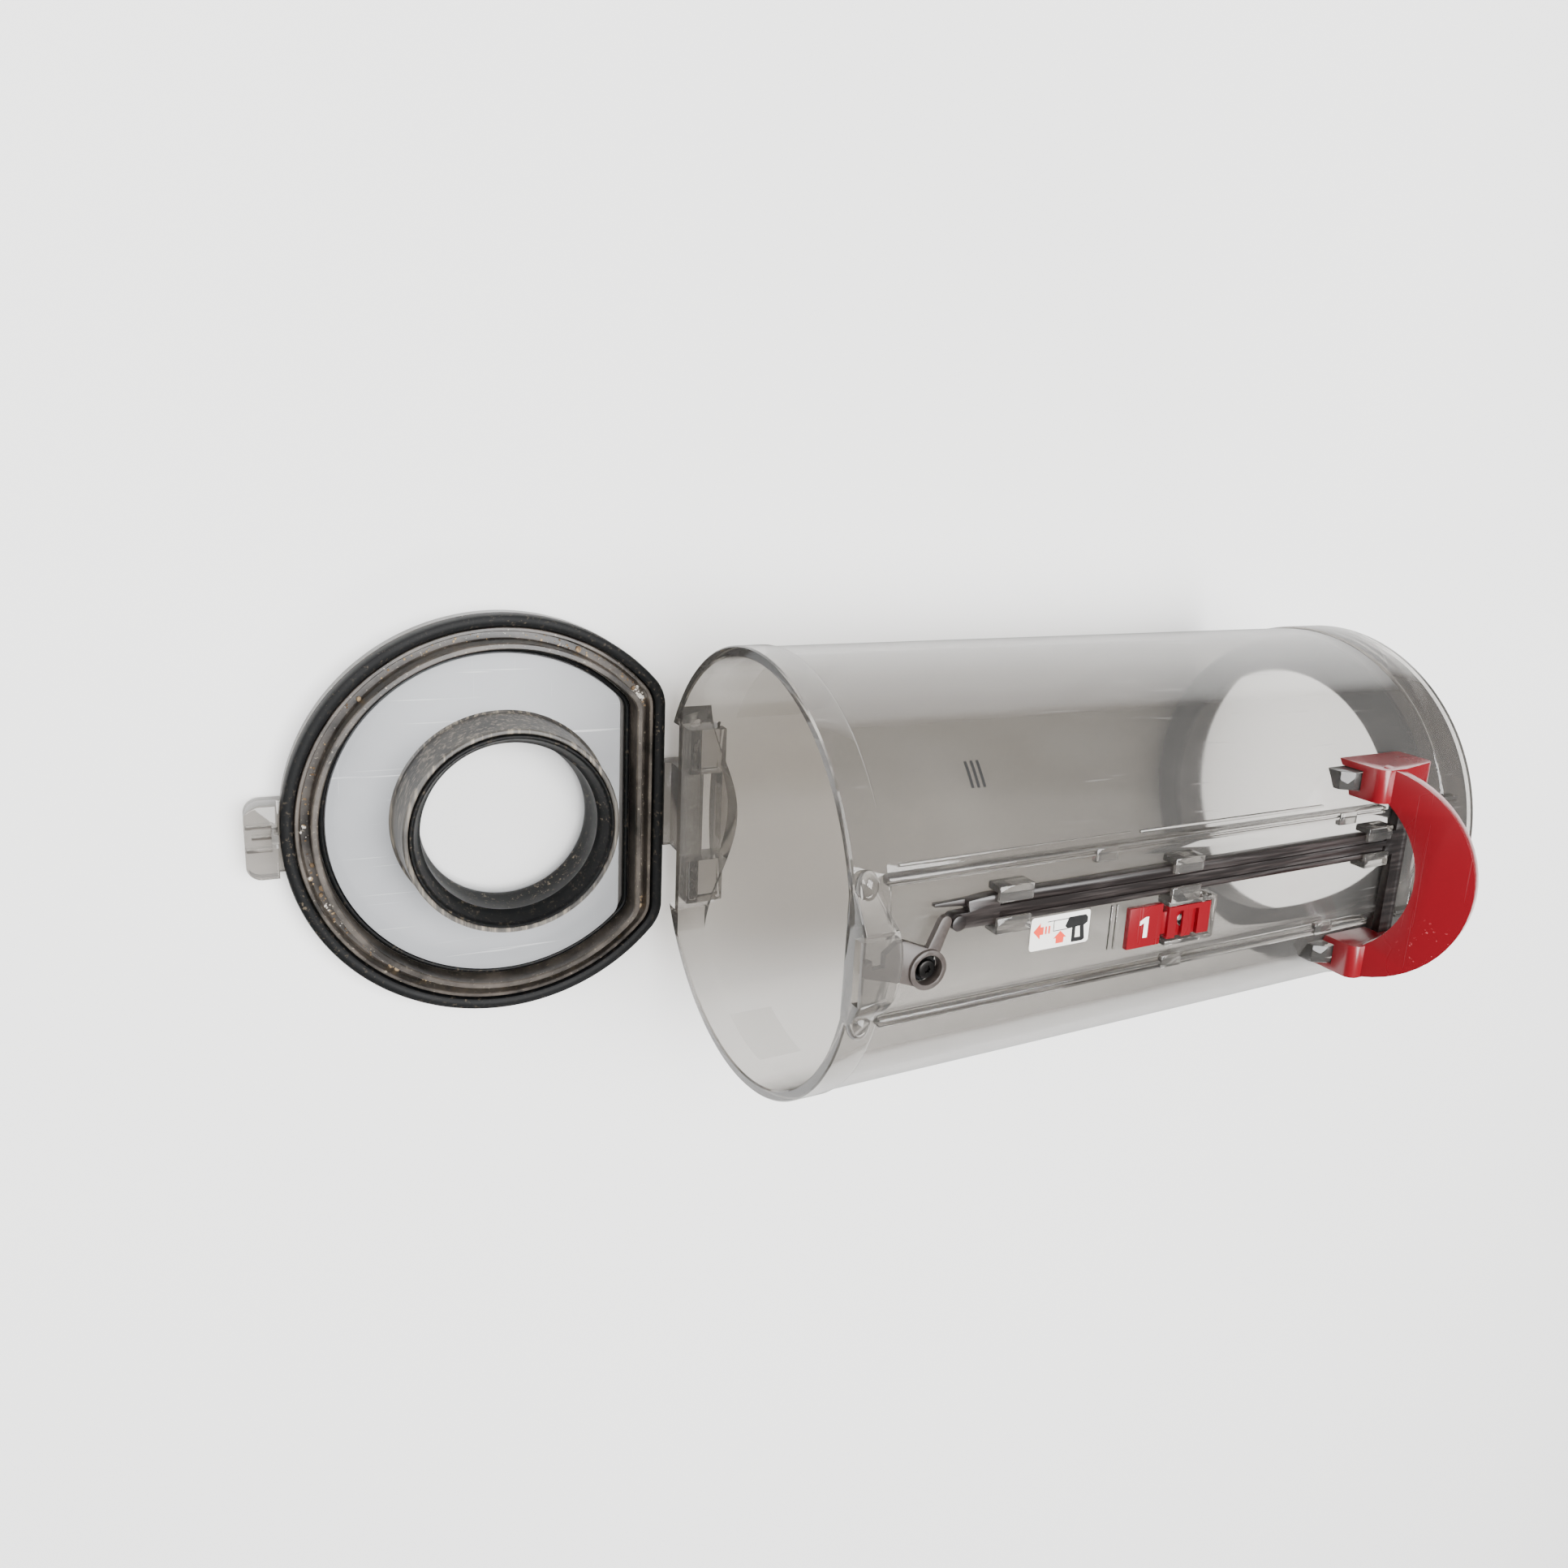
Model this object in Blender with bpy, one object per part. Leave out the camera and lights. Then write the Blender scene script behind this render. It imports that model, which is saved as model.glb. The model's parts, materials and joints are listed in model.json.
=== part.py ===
"""Clear dust bin of a cordless stick vacuum cleaner, lying on its back with its base flap open.

The bin frame has its origin at the centre of the mouth. X runs along the bin from the mouth to the
far end, Y across it, and Z out through the flat deck that carries the release mechanism.
The flap is drawn closed in that frame and then swung open about its hinge pin.
"""
import math

import bmesh
import bpy
from mathutils import Matrix, Vector

MM = 0.001

# ---- driving dimensions -------------------------------------------------------------------
GAP = 0.3 * MM                    # clearance between neighbouring solids
PIN_GAP = 0.3 * MM                # radial clearance of a pin or screw in its hole

BIN_LENGTH = 216.0 * MM
TUBE_RADIUS = 58.0 * MM           # outer radius between the bands
BAND_STEP = 0.5 * MM              # how far the bands at both ends stand proud
WALL = 2.3 * MM                   # wall of the tube between the bands
MOUTH_BAND = 8.5 * MM
FAR_BAND = 14.0 * MM

DECK_DEPTH = 2.0 * MM             # how far the flat deck is let into the tube
DECK_START = 9.5 * MM
RAIL_SPACING = 33.8 * MM          # between the centre lines of the two rails
RAIL_WIDTH = 2.0 * MM
RAIL_HEIGHT = 2.6 * MM            # above the deck
RAIL_END_MARGIN = 11.0 * MM       # from the far end of the bin

DECK_END_MARGIN = 2.4 * MM        # between the deck's end and the scraper

COLLAR_LENGTH = 17.4 * MM
COLLAR_WALL = 2.8 * MM
SCRAPER_REACH = 11.4 * MM         # from the seal's outer edge to its lip
SCRAPER_THICKNESS = 2.2 * MM

HINGE_X = 6.5 * MM                # hinge axis, from the mouth plane
HINGE_INSET = 6.1 * MM            # hinge axis, inside the band's radius
KNUCKLE_RADIUS = 3.3 * MM
PIN_RADIUS = 1.4 * MM
HINGE_LENGTH = 53.0 * MM          # over the two outer knuckles
FLAP_KNUCKLE = 26.0 * MM          # length of the flap's knuckle
CHORD_OFFSET = 5.9 * MM           # from the hinge axis to the flat side of the mouth and flap
CHORD_WALL = 2.5 * MM
POCKET_DEPTH = 15.5 * MM          # depth of the hinge pocket behind the mouth

FLAP_INSET = 0.2 * MM             # the flap's edge, inside the band's radius
FLAP_DEPTH = 10.5 * MM            # mouth plane to underside
FLAP_CORNER = 12.0 * MM
SEAL_WIDTH = 3.2 * MM
SEAL_HEIGHT = 5.0 * MM
CHANNEL_WIDTH = 2.8 * MM
CHANNEL_WALL = 1.1 * MM           # thin wall beside the outer seal
CHANNEL_WALL_DROP = 1.5 * MM      # top of that wall below the mouth plane
RIM_WALL = 1.7 * MM               # bright rim round the floor
RIM_RISE = 1.5 * MM               # rim top above the mouth plane
GASKET_WIDTH = 1.4 * MM
GASKET_HEIGHT = 2.1 * MM
LEDGE_WIDTH = 4.4 * MM
LEDGE_THICKNESS = 3.3 * MM
LEDGE_EXTRA_CHORD = 2.0 * MM      # the opening's flat side lies further in
FLOOR_THICKNESS = 2.5 * MM
CUP_BORE = 28.0 * MM
CUP_BASE_WALL = 2.2 * MM
CUP_RIM_WALL = 1.3 * MM
CUP_RISE = 12.0 * MM              # top of the cup above the mouth plane
CUP_SEAL_THICK = 4.4 * MM         # rubber funnel, at its narrow end
CUP_SEAL_THIN = 1.4 * MM

TONGUE_LENGTH = 8.5 * MM
TONGUE_WIDTH = 20.6 * MM
TONGUE_CENTRE_Y = -1.2 * MM
LUG_HEIGHT = 1.7 * MM
LUG_WIDTH = 2.4 * MM
LUG_REACH = 6.0 * MM
LUG_OFFSET = 5.0 * MM             # from the catch's pivot, across the bin
BARB_LENGTH = 2.4 * MM
BARB_BITE = 2.0 * MM

CATCH_X = 17.9 * MM
CATCH_Y = -4.4 * MM
CATCH_PLATE = 1.8 * MM
CATCH_HUB_RADIUS = 4.8 * MM
CATCH_HUB_BORE = 3.6 * MM
CATCH_ARM_ANGLE = 67.0            # degrees from +X
CATCH_ARM_LENGTH = 12.9 * MM
CATCH_ARM_WIDTH = 3.0 * MM
SCREW_RADIUS = 1.2 * MM
SCREW_HEAD_RADIUS = 2.3 * MM
SCREW_HEAD_HEIGHT = 1.3 * MM
SPRING_WIRE = 0.3 * MM            # wire radius
CATCH_SPRING_TURNS = 2.0

ROD_WIDTH = 7.2 * MM
ROD_LOW_Y = 3.2 * MM              # the rod's edge on the button's side
ROD_HEIGHT = 2.9 * MM
ROD_GROOVE = 0.7 * MM
ROD_NOSE_RADIUS = 1.9 * MM
ROD_NOSE_Y = 5.2 * MM
ROD_TRAVEL = 3.5 * MM

LEVER_SETBACK = 55.0 * MM         # front of the lever's feet, from the far end
LEVER_FOOT_LENGTH = 25.0 * MM
LEVER_FOOT_INNER = 21.2 * MM
LEVER_FOOT_OUTER = 30.8 * MM
LEVER_FOOT_HEIGHT = 8.6 * MM      # above the deck
LEVER_LEAN = 0.38                 # forward lean of the arch, run per rise
LEVER_ARCH_SETBACK = 1.0 * MM     # arch plane at deck height, behind the feet's front
LEVER_THICKNESS = 4.0 * MM
ARCH_INNER_RADIUS = 26.8 * MM
ARCH_OUTER_RADIUS = 31.3 * MM
ARCH_INNER_RISE = -8.0 * MM       # circle centres above the deck, measured in the arch plane
ARCH_OUTER_RISE = 2.7 * MM
GUIDE_WIDTH = 5.2 * MM
GUIDE_RISE = 1.2 * MM             # above the deck
GUIDE_RAMP = 5.5 * MM             # part of the guide that shows in front of the foot
GUIDE_LENGTH = 15.0 * MM
CROSS_PLATE = 5.6 * MM            # width of the rod's cross plate along the bin
CROSS_PLATE_REACH = 27.0 * MM
LEVER_SCREW_Y = 25.0 * MM

BUTTON_X = 79.0 * MM
BUTTON_Y = -5.0 * MM
BUTTON_SIZE = 11.0 * MM
BUTTON_THICKNESS = 1.5 * MM
BUTTON_PIVOT_X = 104.5 * MM
BUTTON_TRAVEL = 3.0               # degrees
BUTTON_PIN_RADIUS = 0.8 * MM
HOUSING_WALL = 1.3 * MM
HOUSING_START = 91.0 * MM
HOUSING_END = 108.0 * MM
HOUSING_HEIGHT = 4.2 * MM

LABEL_X = 50.0 * MM
LABEL_Y = -7.3 * MM
LABEL_LENGTH = 18.3 * MM
LABEL_WIDTH = 8.6 * MM
LABEL_THICKNESS = 0.2 * MM

ROUND = 96                        # sides of the large round pieces
SMALL_ROUND = 24                  # sides of pins, hubs and screws

# ---- derived places ----------------------------------------------------------------------
BAND_RADIUS = TUBE_RADIUS + BAND_STEP
TUBE_BORE = TUBE_RADIUS - WALL
MID_WALL = TUBE_RADIUS - WALL / 2
DECK_HEIGHT = TUBE_RADIUS - DECK_DEPTH
SCRAPER_RADIUS = TUBE_BORE - GAP - SCRAPER_REACH
HINGE_DROP = BAND_RADIUS - HINGE_INSET
CHORD = HINGE_DROP - CHORD_OFFSET
FLAP_RADIUS = BAND_RADIUS - FLAP_INSET
CUP_BASE_RADIUS = CUP_BORE + CUP_BASE_WALL
CUP_RIM_RADIUS = CUP_BORE + CUP_RIM_WALL
CUP_SEAL_THROAT = CUP_BORE - GAP - CUP_SEAL_THICK
CUP_SEAL_MOUTH = CUP_BORE - GAP - CUP_SEAL_THIN
LEVER_FRONT = BIN_LENGTH - LEVER_SETBACK
LEVER_FOOT_TOP = DECK_HEIGHT + LEVER_FOOT_HEIGHT
LEVER_ARCH_X = LEVER_FRONT + LEVER_ARCH_SETBACK
GUIDE_HEIGHT = DECK_HEIGHT + GUIDE_RISE
RAIL_Y = RAIL_SPACING / 2
RAIL_TOP = DECK_HEIGHT + RAIL_HEIGHT
HINGE_Z = -HINGE_DROP
HINGE_POINT = Vector((HINGE_X, 0.0, HINGE_Z))
ROD_BOTTOM = DECK_HEIGHT + GAP
ROD_TOP = ROD_BOTTOM + ROD_HEIGHT
ROD_HIGH_Y = ROD_LOW_Y + ROD_WIDTH
ROD_CENTRE_Y = ROD_LOW_Y + ROD_WIDTH / 2
LUG_Z = FLAP_RADIUS + 0.4 * MM
PLATE_Z = LUG_Z - 0.1 * MM
PLATE_TOP = PLATE_Z + CATCH_PLATE
HOOD_CEILING = PLATE_TOP + 0.5 * MM
HOOD_TOP = HOOD_CEILING + 1.3 * MM
LEVER_BACK = LEVER_FRONT + LEVER_FOOT_LENGTH
CROSS_X = LEVER_BACK - 2.2 * MM - CROSS_PLATE
SCREW_X = CROSS_X + CROSS_PLATE / 2
BUTTON_LIFT = math.sin(math.radians(BUTTON_TRAVEL)) * (BUTTON_PIVOT_X - BUTTON_X) + 1.2 * GAP
CLIP_XS = (36.5 * MM, 91.0 * MM, LEVER_FRONT + 3.2 * MM)
CLIP_LENGTH = 10.0 * MM


def flap_rest_angle():
    """Opening angle at which the flap's underside and the far band both lie on the floor."""
    run = BIN_LENGTH - HINGE_X
    rise = BAND_RADIUS - HINGE_DROP
    drop = FLAP_DEPTH + HINGE_X
    tilt = math.asin(drop / math.hypot(run, rise)) - math.atan2(rise, run)
    return math.pi / 2 + tilt


# ---- modelling helpers -------------------------------------------------------------------
def new_object(name, bm):
    bmesh.ops.recalc_face_normals(bm, faces=bm.faces)
    mesh = bpy.data.meshes.new(name)
    bm.to_mesh(mesh)
    bm.free()
    obj = bpy.data.objects.new(name, mesh)
    bpy.context.scene.collection.objects.link(obj)
    return obj


def box(low, high):
    """A box between two corners."""
    bm = bmesh.new()
    size = [b - a for a, b in zip(low, high)]
    centre = [(a + b) / 2 for a, b in zip(low, high)]
    matrix = Matrix.Translation(centre) @ Matrix.Diagonal((*size, 1.0))
    bmesh.ops.create_cube(bm, size=1.0, matrix=matrix)
    return new_object("box", bm)


def cylinder(centre, radius, length, axis="Z", sides=SMALL_ROUND, top_radius=None):
    """A cylinder or cone that starts at centre and runs along +axis."""
    turn = {"X": Matrix.Rotation(math.pi / 2, 4, "Y"), "Y": Matrix.Rotation(-math.pi / 2, 4, "X"),
            "Z": Matrix.Identity(4)}[axis]
    end = radius if top_radius is None else top_radius
    matrix = Matrix.Translation(centre) @ turn @ Matrix.Translation((0, 0, length / 2))
    bm = bmesh.new()
    bmesh.ops.create_cone(bm, cap_ends=True, segments=sides, radius1=radius, radius2=end,
                          depth=length, matrix=matrix)
    return new_object("cylinder", bm)


def lathe(profile, sides=ROUND, axis="X", origin=(0, 0, 0)):
    """Turn a closed outline of (along, radius) points about an axis through origin."""
    bm = bmesh.new()
    if axis == "X":
        points, direction = [(a, 0, r) for a, r in profile], (1, 0, 0)
    else:
        points, direction = [(r, 0, a) for a, r in profile], (0, 0, 1)
    verts = [bm.verts.new(Vector(p) + Vector(origin)) for p in points]
    edges = [bm.edges.new((verts[i], verts[(i + 1) % len(verts)])) for i in range(len(verts))]
    bmesh.ops.spin(bm, geom=verts + edges, cent=origin, axis=direction, angle=math.tau,
                   steps=sides, use_merge=True)
    bmesh.ops.remove_doubles(bm, verts=bm.verts, dist=1e-7)
    return new_object("turned", bm)


def prism(outline, low, high, plane="XY"):
    """Extrude an outline between two levels along the third axis."""
    place = {"XY": lambda a, b, c: (a, b, c), "XZ": lambda a, b, c: (a, c, b),
             "YZ": lambda a, b, c: (c, a, b)}[plane]
    bm = bmesh.new()
    face = bm.faces.new([bm.verts.new(place(a, b, low)) for a, b in outline])
    result = bmesh.ops.extrude_face_region(bm, geom=[face])
    moved = [v for v in result["geom"] if isinstance(v, bmesh.types.BMVert)]
    bmesh.ops.translate(bm, verts=moved, vec=Vector(place(0, 0, high - low)))
    return new_object("prism", bm)


def combine(base, tools, operation="UNION"):
    """Boolean a list of tools into base and delete them."""
    for tool in tools:
        modifier = base.modifiers.new("boolean", "BOOLEAN")
        modifier.operation = operation
        modifier.solver = "EXACT"
        modifier.object = tool
        graph = bpy.context.evaluated_depsgraph_get()
        mesh = bpy.data.meshes.new_from_object(base.evaluated_get(graph))
        base.modifiers.clear()
        base.data = mesh
        bpy.data.objects.remove(tool)
    return base


def cut(base, *tools):
    return combine(base, tools, "DIFFERENCE")


def join(base, *tools):
    return combine(base, tools, "UNION")


def keep_inside(base, tool):
    return combine(base, [tool], "INTERSECT")


def arc(centre, radius, start, end, steps):
    """Points along an arc, angles in degrees."""
    turn = [math.radians(start + (end - start) * i / steps) for i in range(steps + 1)]
    return [(centre[0] + radius * math.cos(t), centre[1] + radius * math.sin(t)) for t in turn]


def d_outline(inset, extra_chord=0.0):
    """The flap's D shape, (y, z) points, stepped inwards from its outer edge."""
    radius = FLAP_RADIUS - inset
    chord = CHORD - inset - extra_chord
    corner = max(FLAP_CORNER - inset * 0.6, 3 * MM)
    corner_z = -chord + corner
    corner_y = math.sqrt((radius - corner) ** 2 - corner_z ** 2)
    join_angle = math.degrees(math.atan2(corner_z, corner_y))
    points = arc((0, 0), radius, join_angle, 180 - join_angle, ROUND * 3 // 4)
    points += arc((-corner_y, corner_z), corner, 180 - join_angle, 270, 6)[1:]
    points += arc((corner_y, corner_z), corner, 270, 360 + join_angle, 6)[:-1]
    return points


def d_turned(profile):
    """A D-shaped ring with any section: a closed outline of (x, inset, extra chord) points."""
    bm = bmesh.new()
    loops = [[bm.verts.new((x, y, z)) for y, z in d_outline(inset, extra)] for x, inset, extra in profile]
    for near, far in zip(loops, loops[1:] + loops[:1]):
        for i, vert in enumerate(near):
            after = (i + 1) % len(near)
            bm.faces.new((vert, near[after], far[after], far[i]))
    return new_object("d_ring", bm)


def d_ring(outer, inner, low, high):
    """A plain D-shaped ring between two insets."""
    return d_turned([(low, outer, 0), (high, outer, 0), (high, inner, 0), (low, inner, 0)])


def coil(centre, radius, wire, turns, pitch, start=0.0, lead_out=()):
    """A spring wire along Z, with optional straight points after the last turn."""
    steps = int(12 * turns)
    points = []
    for i in range(steps + 1):
        turn = math.radians(start) + math.tau * turns * i / steps
        points.append(Vector((centre[0] + radius * math.cos(turn),
                              centre[1] + radius * math.sin(turn),
                              centre[2] + pitch * turns * i / steps)))
    points += [Vector(p) for p in lead_out]
    curve = bpy.data.curves.new("wire", "CURVE")
    curve.dimensions = "3D"
    curve.bevel_depth = wire
    curve.bevel_resolution = 1
    curve.use_fill_caps = True
    spline = curve.splines.new("POLY")
    spline.points.add(len(points) - 1)
    for spot, point in zip(spline.points, points):
        spot.co = (*point, 1.0)
    source = bpy.data.objects.new("wire", curve)
    bpy.context.scene.collection.objects.link(source)
    graph = bpy.context.evaluated_depsgraph_get()
    mesh = bpy.data.meshes.new_from_object(source.evaluated_get(graph))
    bpy.data.objects.remove(source)
    bm = bmesh.new()
    bm.from_mesh(mesh)
    bmesh.ops.remove_doubles(bm, verts=bm.verts, dist=1e-7)
    return new_object("coil", bm)


def material(name, colour, roughness, metallic=0.0, alpha=1.0):
    finish = bpy.data.materials.new(name)
    finish.use_nodes = True
    shader = finish.node_tree.nodes["Principled BSDF"]
    shader.inputs["Base Color"].default_value = (*colour, 1.0)
    shader.inputs["Roughness"].default_value = roughness
    shader.inputs["Metallic"].default_value = metallic
    shader.inputs["Alpha"].default_value = alpha
    return finish


def finish_piece(obj, name, finish, parent, smooth=35.0):
    """Name a solid, give it its material and hang it on its body without moving it."""
    obj.name = name
    obj.data.name = name
    obj.data.materials.clear()
    obj.data.materials.append(finish)
    obj.data.shade_smooth()
    obj.data.set_sharp_from_angle(angle=math.radians(smooth))
    local = Matrix.Translation(-Vector(parent["axis_point"]))
    obj.data.transform(local)
    obj.parent = parent
    return obj


def body_empty(name, point, parent=None):
    """An empty on a joint's axis; its children are drawn about that point."""
    empty = bpy.data.objects.new(name, None)
    bpy.context.scene.collection.objects.link(empty)
    empty["axis_point"] = tuple(point)
    if parent is not None:
        empty.parent = parent
        empty.location = Vector(point) - Vector(parent["axis_point"])
    return empty


# ---- the clear bin shell -----------------------------------------------------------------
def tube():
    step = BAND_RADIUS - TUBE_RADIUS
    far_start = BIN_LENGTH - FAR_BAND
    profile = [(0, TUBE_BORE), (0, BAND_RADIUS), (MOUTH_BAND, BAND_RADIUS),
               (MOUTH_BAND + step, TUBE_RADIUS), (far_start - step, TUBE_RADIUS),
               (far_start, BAND_RADIUS), (BIN_LENGTH, BAND_RADIUS), (BIN_LENGTH, TUBE_BORE)]
    return lathe(profile)


def deck(shell):
    """Flat deck let into the top of the tube, with its two rails."""
    end = BIN_LENGTH - COLLAR_LENGTH - SCRAPER_THICKNESS - DECK_END_MARGIN
    inside = DECK_HEIGHT - WALL
    half = math.sqrt(TUBE_BORE ** 2 - inside ** 2) + 1.0 * MM
    join(shell, box((DECK_START, -half, inside), (end, half, DECK_HEIGHT + 1 * MM)))
    flat = max(RAIL_Y - RAIL_WIDTH / 2, half + 0.1 * MM)
    cut(shell, box((DECK_START, -flat, DECK_HEIGHT), (end, flat, BAND_RADIUS + 5 * MM)))
    rail_end = BIN_LENGTH - RAIL_END_MARGIN
    notch_start = CROSS_X - ROD_TRAVEL - 2 * MM
    notch_end = CROSS_X + CROSS_PLATE + 1.5 * MM
    for side in (-1, 1):
        centre = side * RAIL_Y
        root = DECK_HEIGHT - 1.5 * MM
        for start, stop in ((MOUTH_BAND - 1 * MM, notch_start), (notch_end, rail_end)):
            join(shell, box((start, centre - RAIL_WIDTH / 2, root),
                            (stop, centre + RAIL_WIDTH / 2, RAIL_TOP)))


def rod_clips(shell):
    """Hooks that hold the rod down, one on each side of it."""
    roof = ROD_TOP + 0.4 * MM
    for x in CLIP_XS:
        for side, edge in ((1, ROD_HIGH_Y), (-1, ROD_LOW_Y)):
            post = sorted((edge + side * 0.5 * MM, edge + side * 2.4 * MM))
            hook = sorted((edge - side * 1.7 * MM, edge + side * 2.4 * MM))
            join(shell, box((x, post[0], DECK_HEIGHT - 1 * MM),
                            (x + CLIP_LENGTH, post[1], roof + 1.1 * MM)))
            join(shell, box((x, hook[0], roof), (x + CLIP_LENGTH, hook[1], roof + 1.1 * MM)))


def rail_tabs(shell):
    """Small tabs on the rails' inner edges."""
    for x, side in ((66, 1), (153, 1), (92, -1), (150, -1)):
        inner = side * (RAIL_Y - 2.6 * MM)
        outer = side * (RAIL_Y + RAIL_WIDTH / 2)
        low, high = sorted((inner, outer))
        join(shell, box((x * MM, low, RAIL_TOP - 1.3 * MM), ((x + 7) * MM, high, RAIL_TOP + 0.4 * MM)))


def catch_hood(shell):
    """Hood over the catch at the mouth, with room for the hook and the flap's lug."""
    foot_z = DECK_HEIGHT - 1.2 * MM
    outline = [(18.5 * MM, foot_z - 1 * MM), (10.5 * MM, HOOD_TOP - 3.5 * MM), (6.5 * MM, HOOD_TOP),
               (-12.0 * MM, HOOD_TOP), (-15.5 * MM, HOOD_TOP - 3.5 * MM),
               (-22.5 * MM, foot_z - 2 * MM)]
    join(shell, prism(outline, 0.0, DECK_START, "YZ"))
    cut(shell, box((-1 * MM, -10.4 * MM, LUG_Z - 0.5 * MM),
                   (DECK_START + 2 * MM, 5.0 * MM, HOOD_CEILING)))
    join(shell, box((DECK_START - 1 * MM, -14 * MM, DECK_HEIGHT - 1 * MM),
                    (DECK_START + 2.0 * MM, -11.5 * MM, HOOD_CEILING)))


def catch_boss(shell):
    """Post that the catch turns on, with a blind screw hole."""
    post = cylinder((CATCH_X, CATCH_Y, DECK_HEIGHT - 1 * MM), 2.6 * MM, 3.2 * MM)
    join(shell, post)
    hole = cylinder((CATCH_X, CATCH_Y, DECK_HEIGHT - 1.7 * MM), SCREW_RADIUS + PIN_GAP, 6 * MM)
    cut(shell, hole)


def lever_guides(shell):
    """Two tapered guides that the lever's feet slide over."""
    start = LEVER_FRONT - GUIDE_RAMP
    centre = (LEVER_FOOT_INNER + LEVER_FOOT_OUTER) / 2
    root = DECK_HEIGHT - 10 * MM
    outline = [(start, root), (start, GUIDE_HEIGHT - 2.2 * MM),
               (LEVER_FRONT - 1.5 * MM, GUIDE_HEIGHT), (start + GUIDE_LENGTH, GUIDE_HEIGHT),
               (start + GUIDE_LENGTH, root)]
    for side in (-1, 1):
        low, high = sorted((side * (centre - GUIDE_WIDTH / 2), side * (centre + GUIDE_WIDTH / 2)))
        guide = prism(outline, low, high, "XZ")
        cut(guide, cylinder((0, 0, 0), MID_WALL, BIN_LENGTH, "X", ROUND))
        join(shell, guide)


def button_housing(shell):
    """Cheeks that carry the button's pin, and the bridge behind it."""
    half = BUTTON_SIZE / 2 - 1.2 * MM
    top = DECK_HEIGHT + HOUSING_HEIGHT
    for side in (-1, 1):
        inner = BUTTON_Y + side * (half + 0.4 * MM)
        outer = inner + side * HOUSING_WALL
        low, high = sorted((inner, outer))
        join(shell, box((HOUSING_START, low, DECK_HEIGHT - 1 * MM), (HOUSING_END, high, top)))
    join(shell, box((HOUSING_END - 1.2 * MM, BUTTON_Y - half - 1 * MM, DECK_HEIGHT - 1 * MM),
                    (HOUSING_END, BUTTON_Y + half + 1 * MM, top)))
    length = BUTTON_SIZE + 6 * MM
    hole = cylinder((BUTTON_PIVOT_X, BUTTON_Y - length / 2, DECK_HEIGHT + BUTTON_LIFT + 0.6 * MM),
                    BUTTON_PIN_RADIUS + PIN_GAP, length, "Y", 16)
    cut(shell, hole)


def hinge_pocket(shell):
    """Flat wall across the hinge side of the mouth, the pocket under it and two knuckles."""
    inner = CHORD - CHORD_WALL
    end = POCKET_DEPTH
    half = math.sqrt(TUBE_RADIUS ** 2 - inner ** 2) - 0.4 * MM
    wall = prism([(0, -inner), (end, -inner), (end + 6 * MM, -TUBE_BORE - 1 * MM),
                  (end + 6 * MM, -BAND_RADIUS - 6 * MM), (0, -BAND_RADIUS - 6 * MM)],
                 -half, half, "XZ")
    keep_inside(wall, cylinder((-1 * MM, 0, 0), TUBE_RADIUS - 0.4 * MM, BIN_LENGTH, "X", ROUND))
    join(shell, wall)
    pocket_half = HINGE_LENGTH / 2 + 1.5 * MM
    cut(shell, prism([(-1 * MM, -CHORD), (end - 2 * MM, -CHORD), (end, -BAND_RADIUS - 9 * MM),
                      (-1 * MM, -BAND_RADIUS - 9 * MM)], -pocket_half, pocket_half, "XZ"))
    outline = arc((HINGE_X, HINGE_Z), KNUCKLE_RADIUS, 180, 270, 6)
    outline += [(end - 0.5 * MM, HINGE_Z - KNUCKLE_RADIUS), (end - 1.0 * MM, -CHORD + 0.8 * MM),
                (HINGE_X - KNUCKLE_RADIUS, -CHORD + 0.8 * MM)]
    inside = FLAP_KNUCKLE / 2 + GAP
    for low, high in ((inside, HINGE_LENGTH / 2), (-HINGE_LENGTH / 2, -inside)):
        join(shell, prism(outline, low, high, "XZ"))
        ear_low, ear_high = (high, high + 2.5 * MM) if high > 0 else (low - 2.5 * MM, low)
        join(shell, prism([(end - 4 * MM, HINGE_Z - 1.5 * MM), (end - 0.5 * MM, HINGE_Z - 1.5 * MM),
                           (end - 1 * MM, -CHORD + 0.8 * MM), (end - 4 * MM, -CHORD + 0.8 * MM)],
                          ear_low - 0.5 * MM, ear_high, "XZ"))
    cut(shell, cylinder((HINGE_X, -40 * MM, HINGE_Z), PIN_RADIUS + PIN_GAP, 80 * MM, "Y"))


def bin_shell():
    shell = tube()
    deck(shell)
    hinge_pocket(shell)
    catch_hood(shell)
    catch_boss(shell)
    rod_clips(shell)
    rail_tabs(shell)
    lever_guides(shell)
    button_housing(shell)
    return shell


# ---- far end -----------------------------------------------------------------------------
def collar_ring():
    outer = TUBE_BORE - GAP
    end = BIN_LENGTH - 0.6 * MM
    start = end - COLLAR_LENGTH
    return lathe([(start, outer), (end, outer), (end, outer - COLLAR_WALL),
                  (start + 3 * MM, outer - COLLAR_WALL), (start, outer - COLLAR_WALL + 0.8 * MM)])


def scraper_seal():
    outer = TUBE_BORE - GAP
    back = BIN_LENGTH - 0.6 * MM - COLLAR_LENGTH - GAP
    front = back - SCRAPER_THICKNESS
    lip = SCRAPER_RADIUS
    return lathe([(back, outer), (back, lip + 4 * MM), (front - 0.2 * MM, lip),
                  (front - 1.4 * MM, lip), (front, lip + 4 * MM), (front, outer)], 72)


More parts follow.
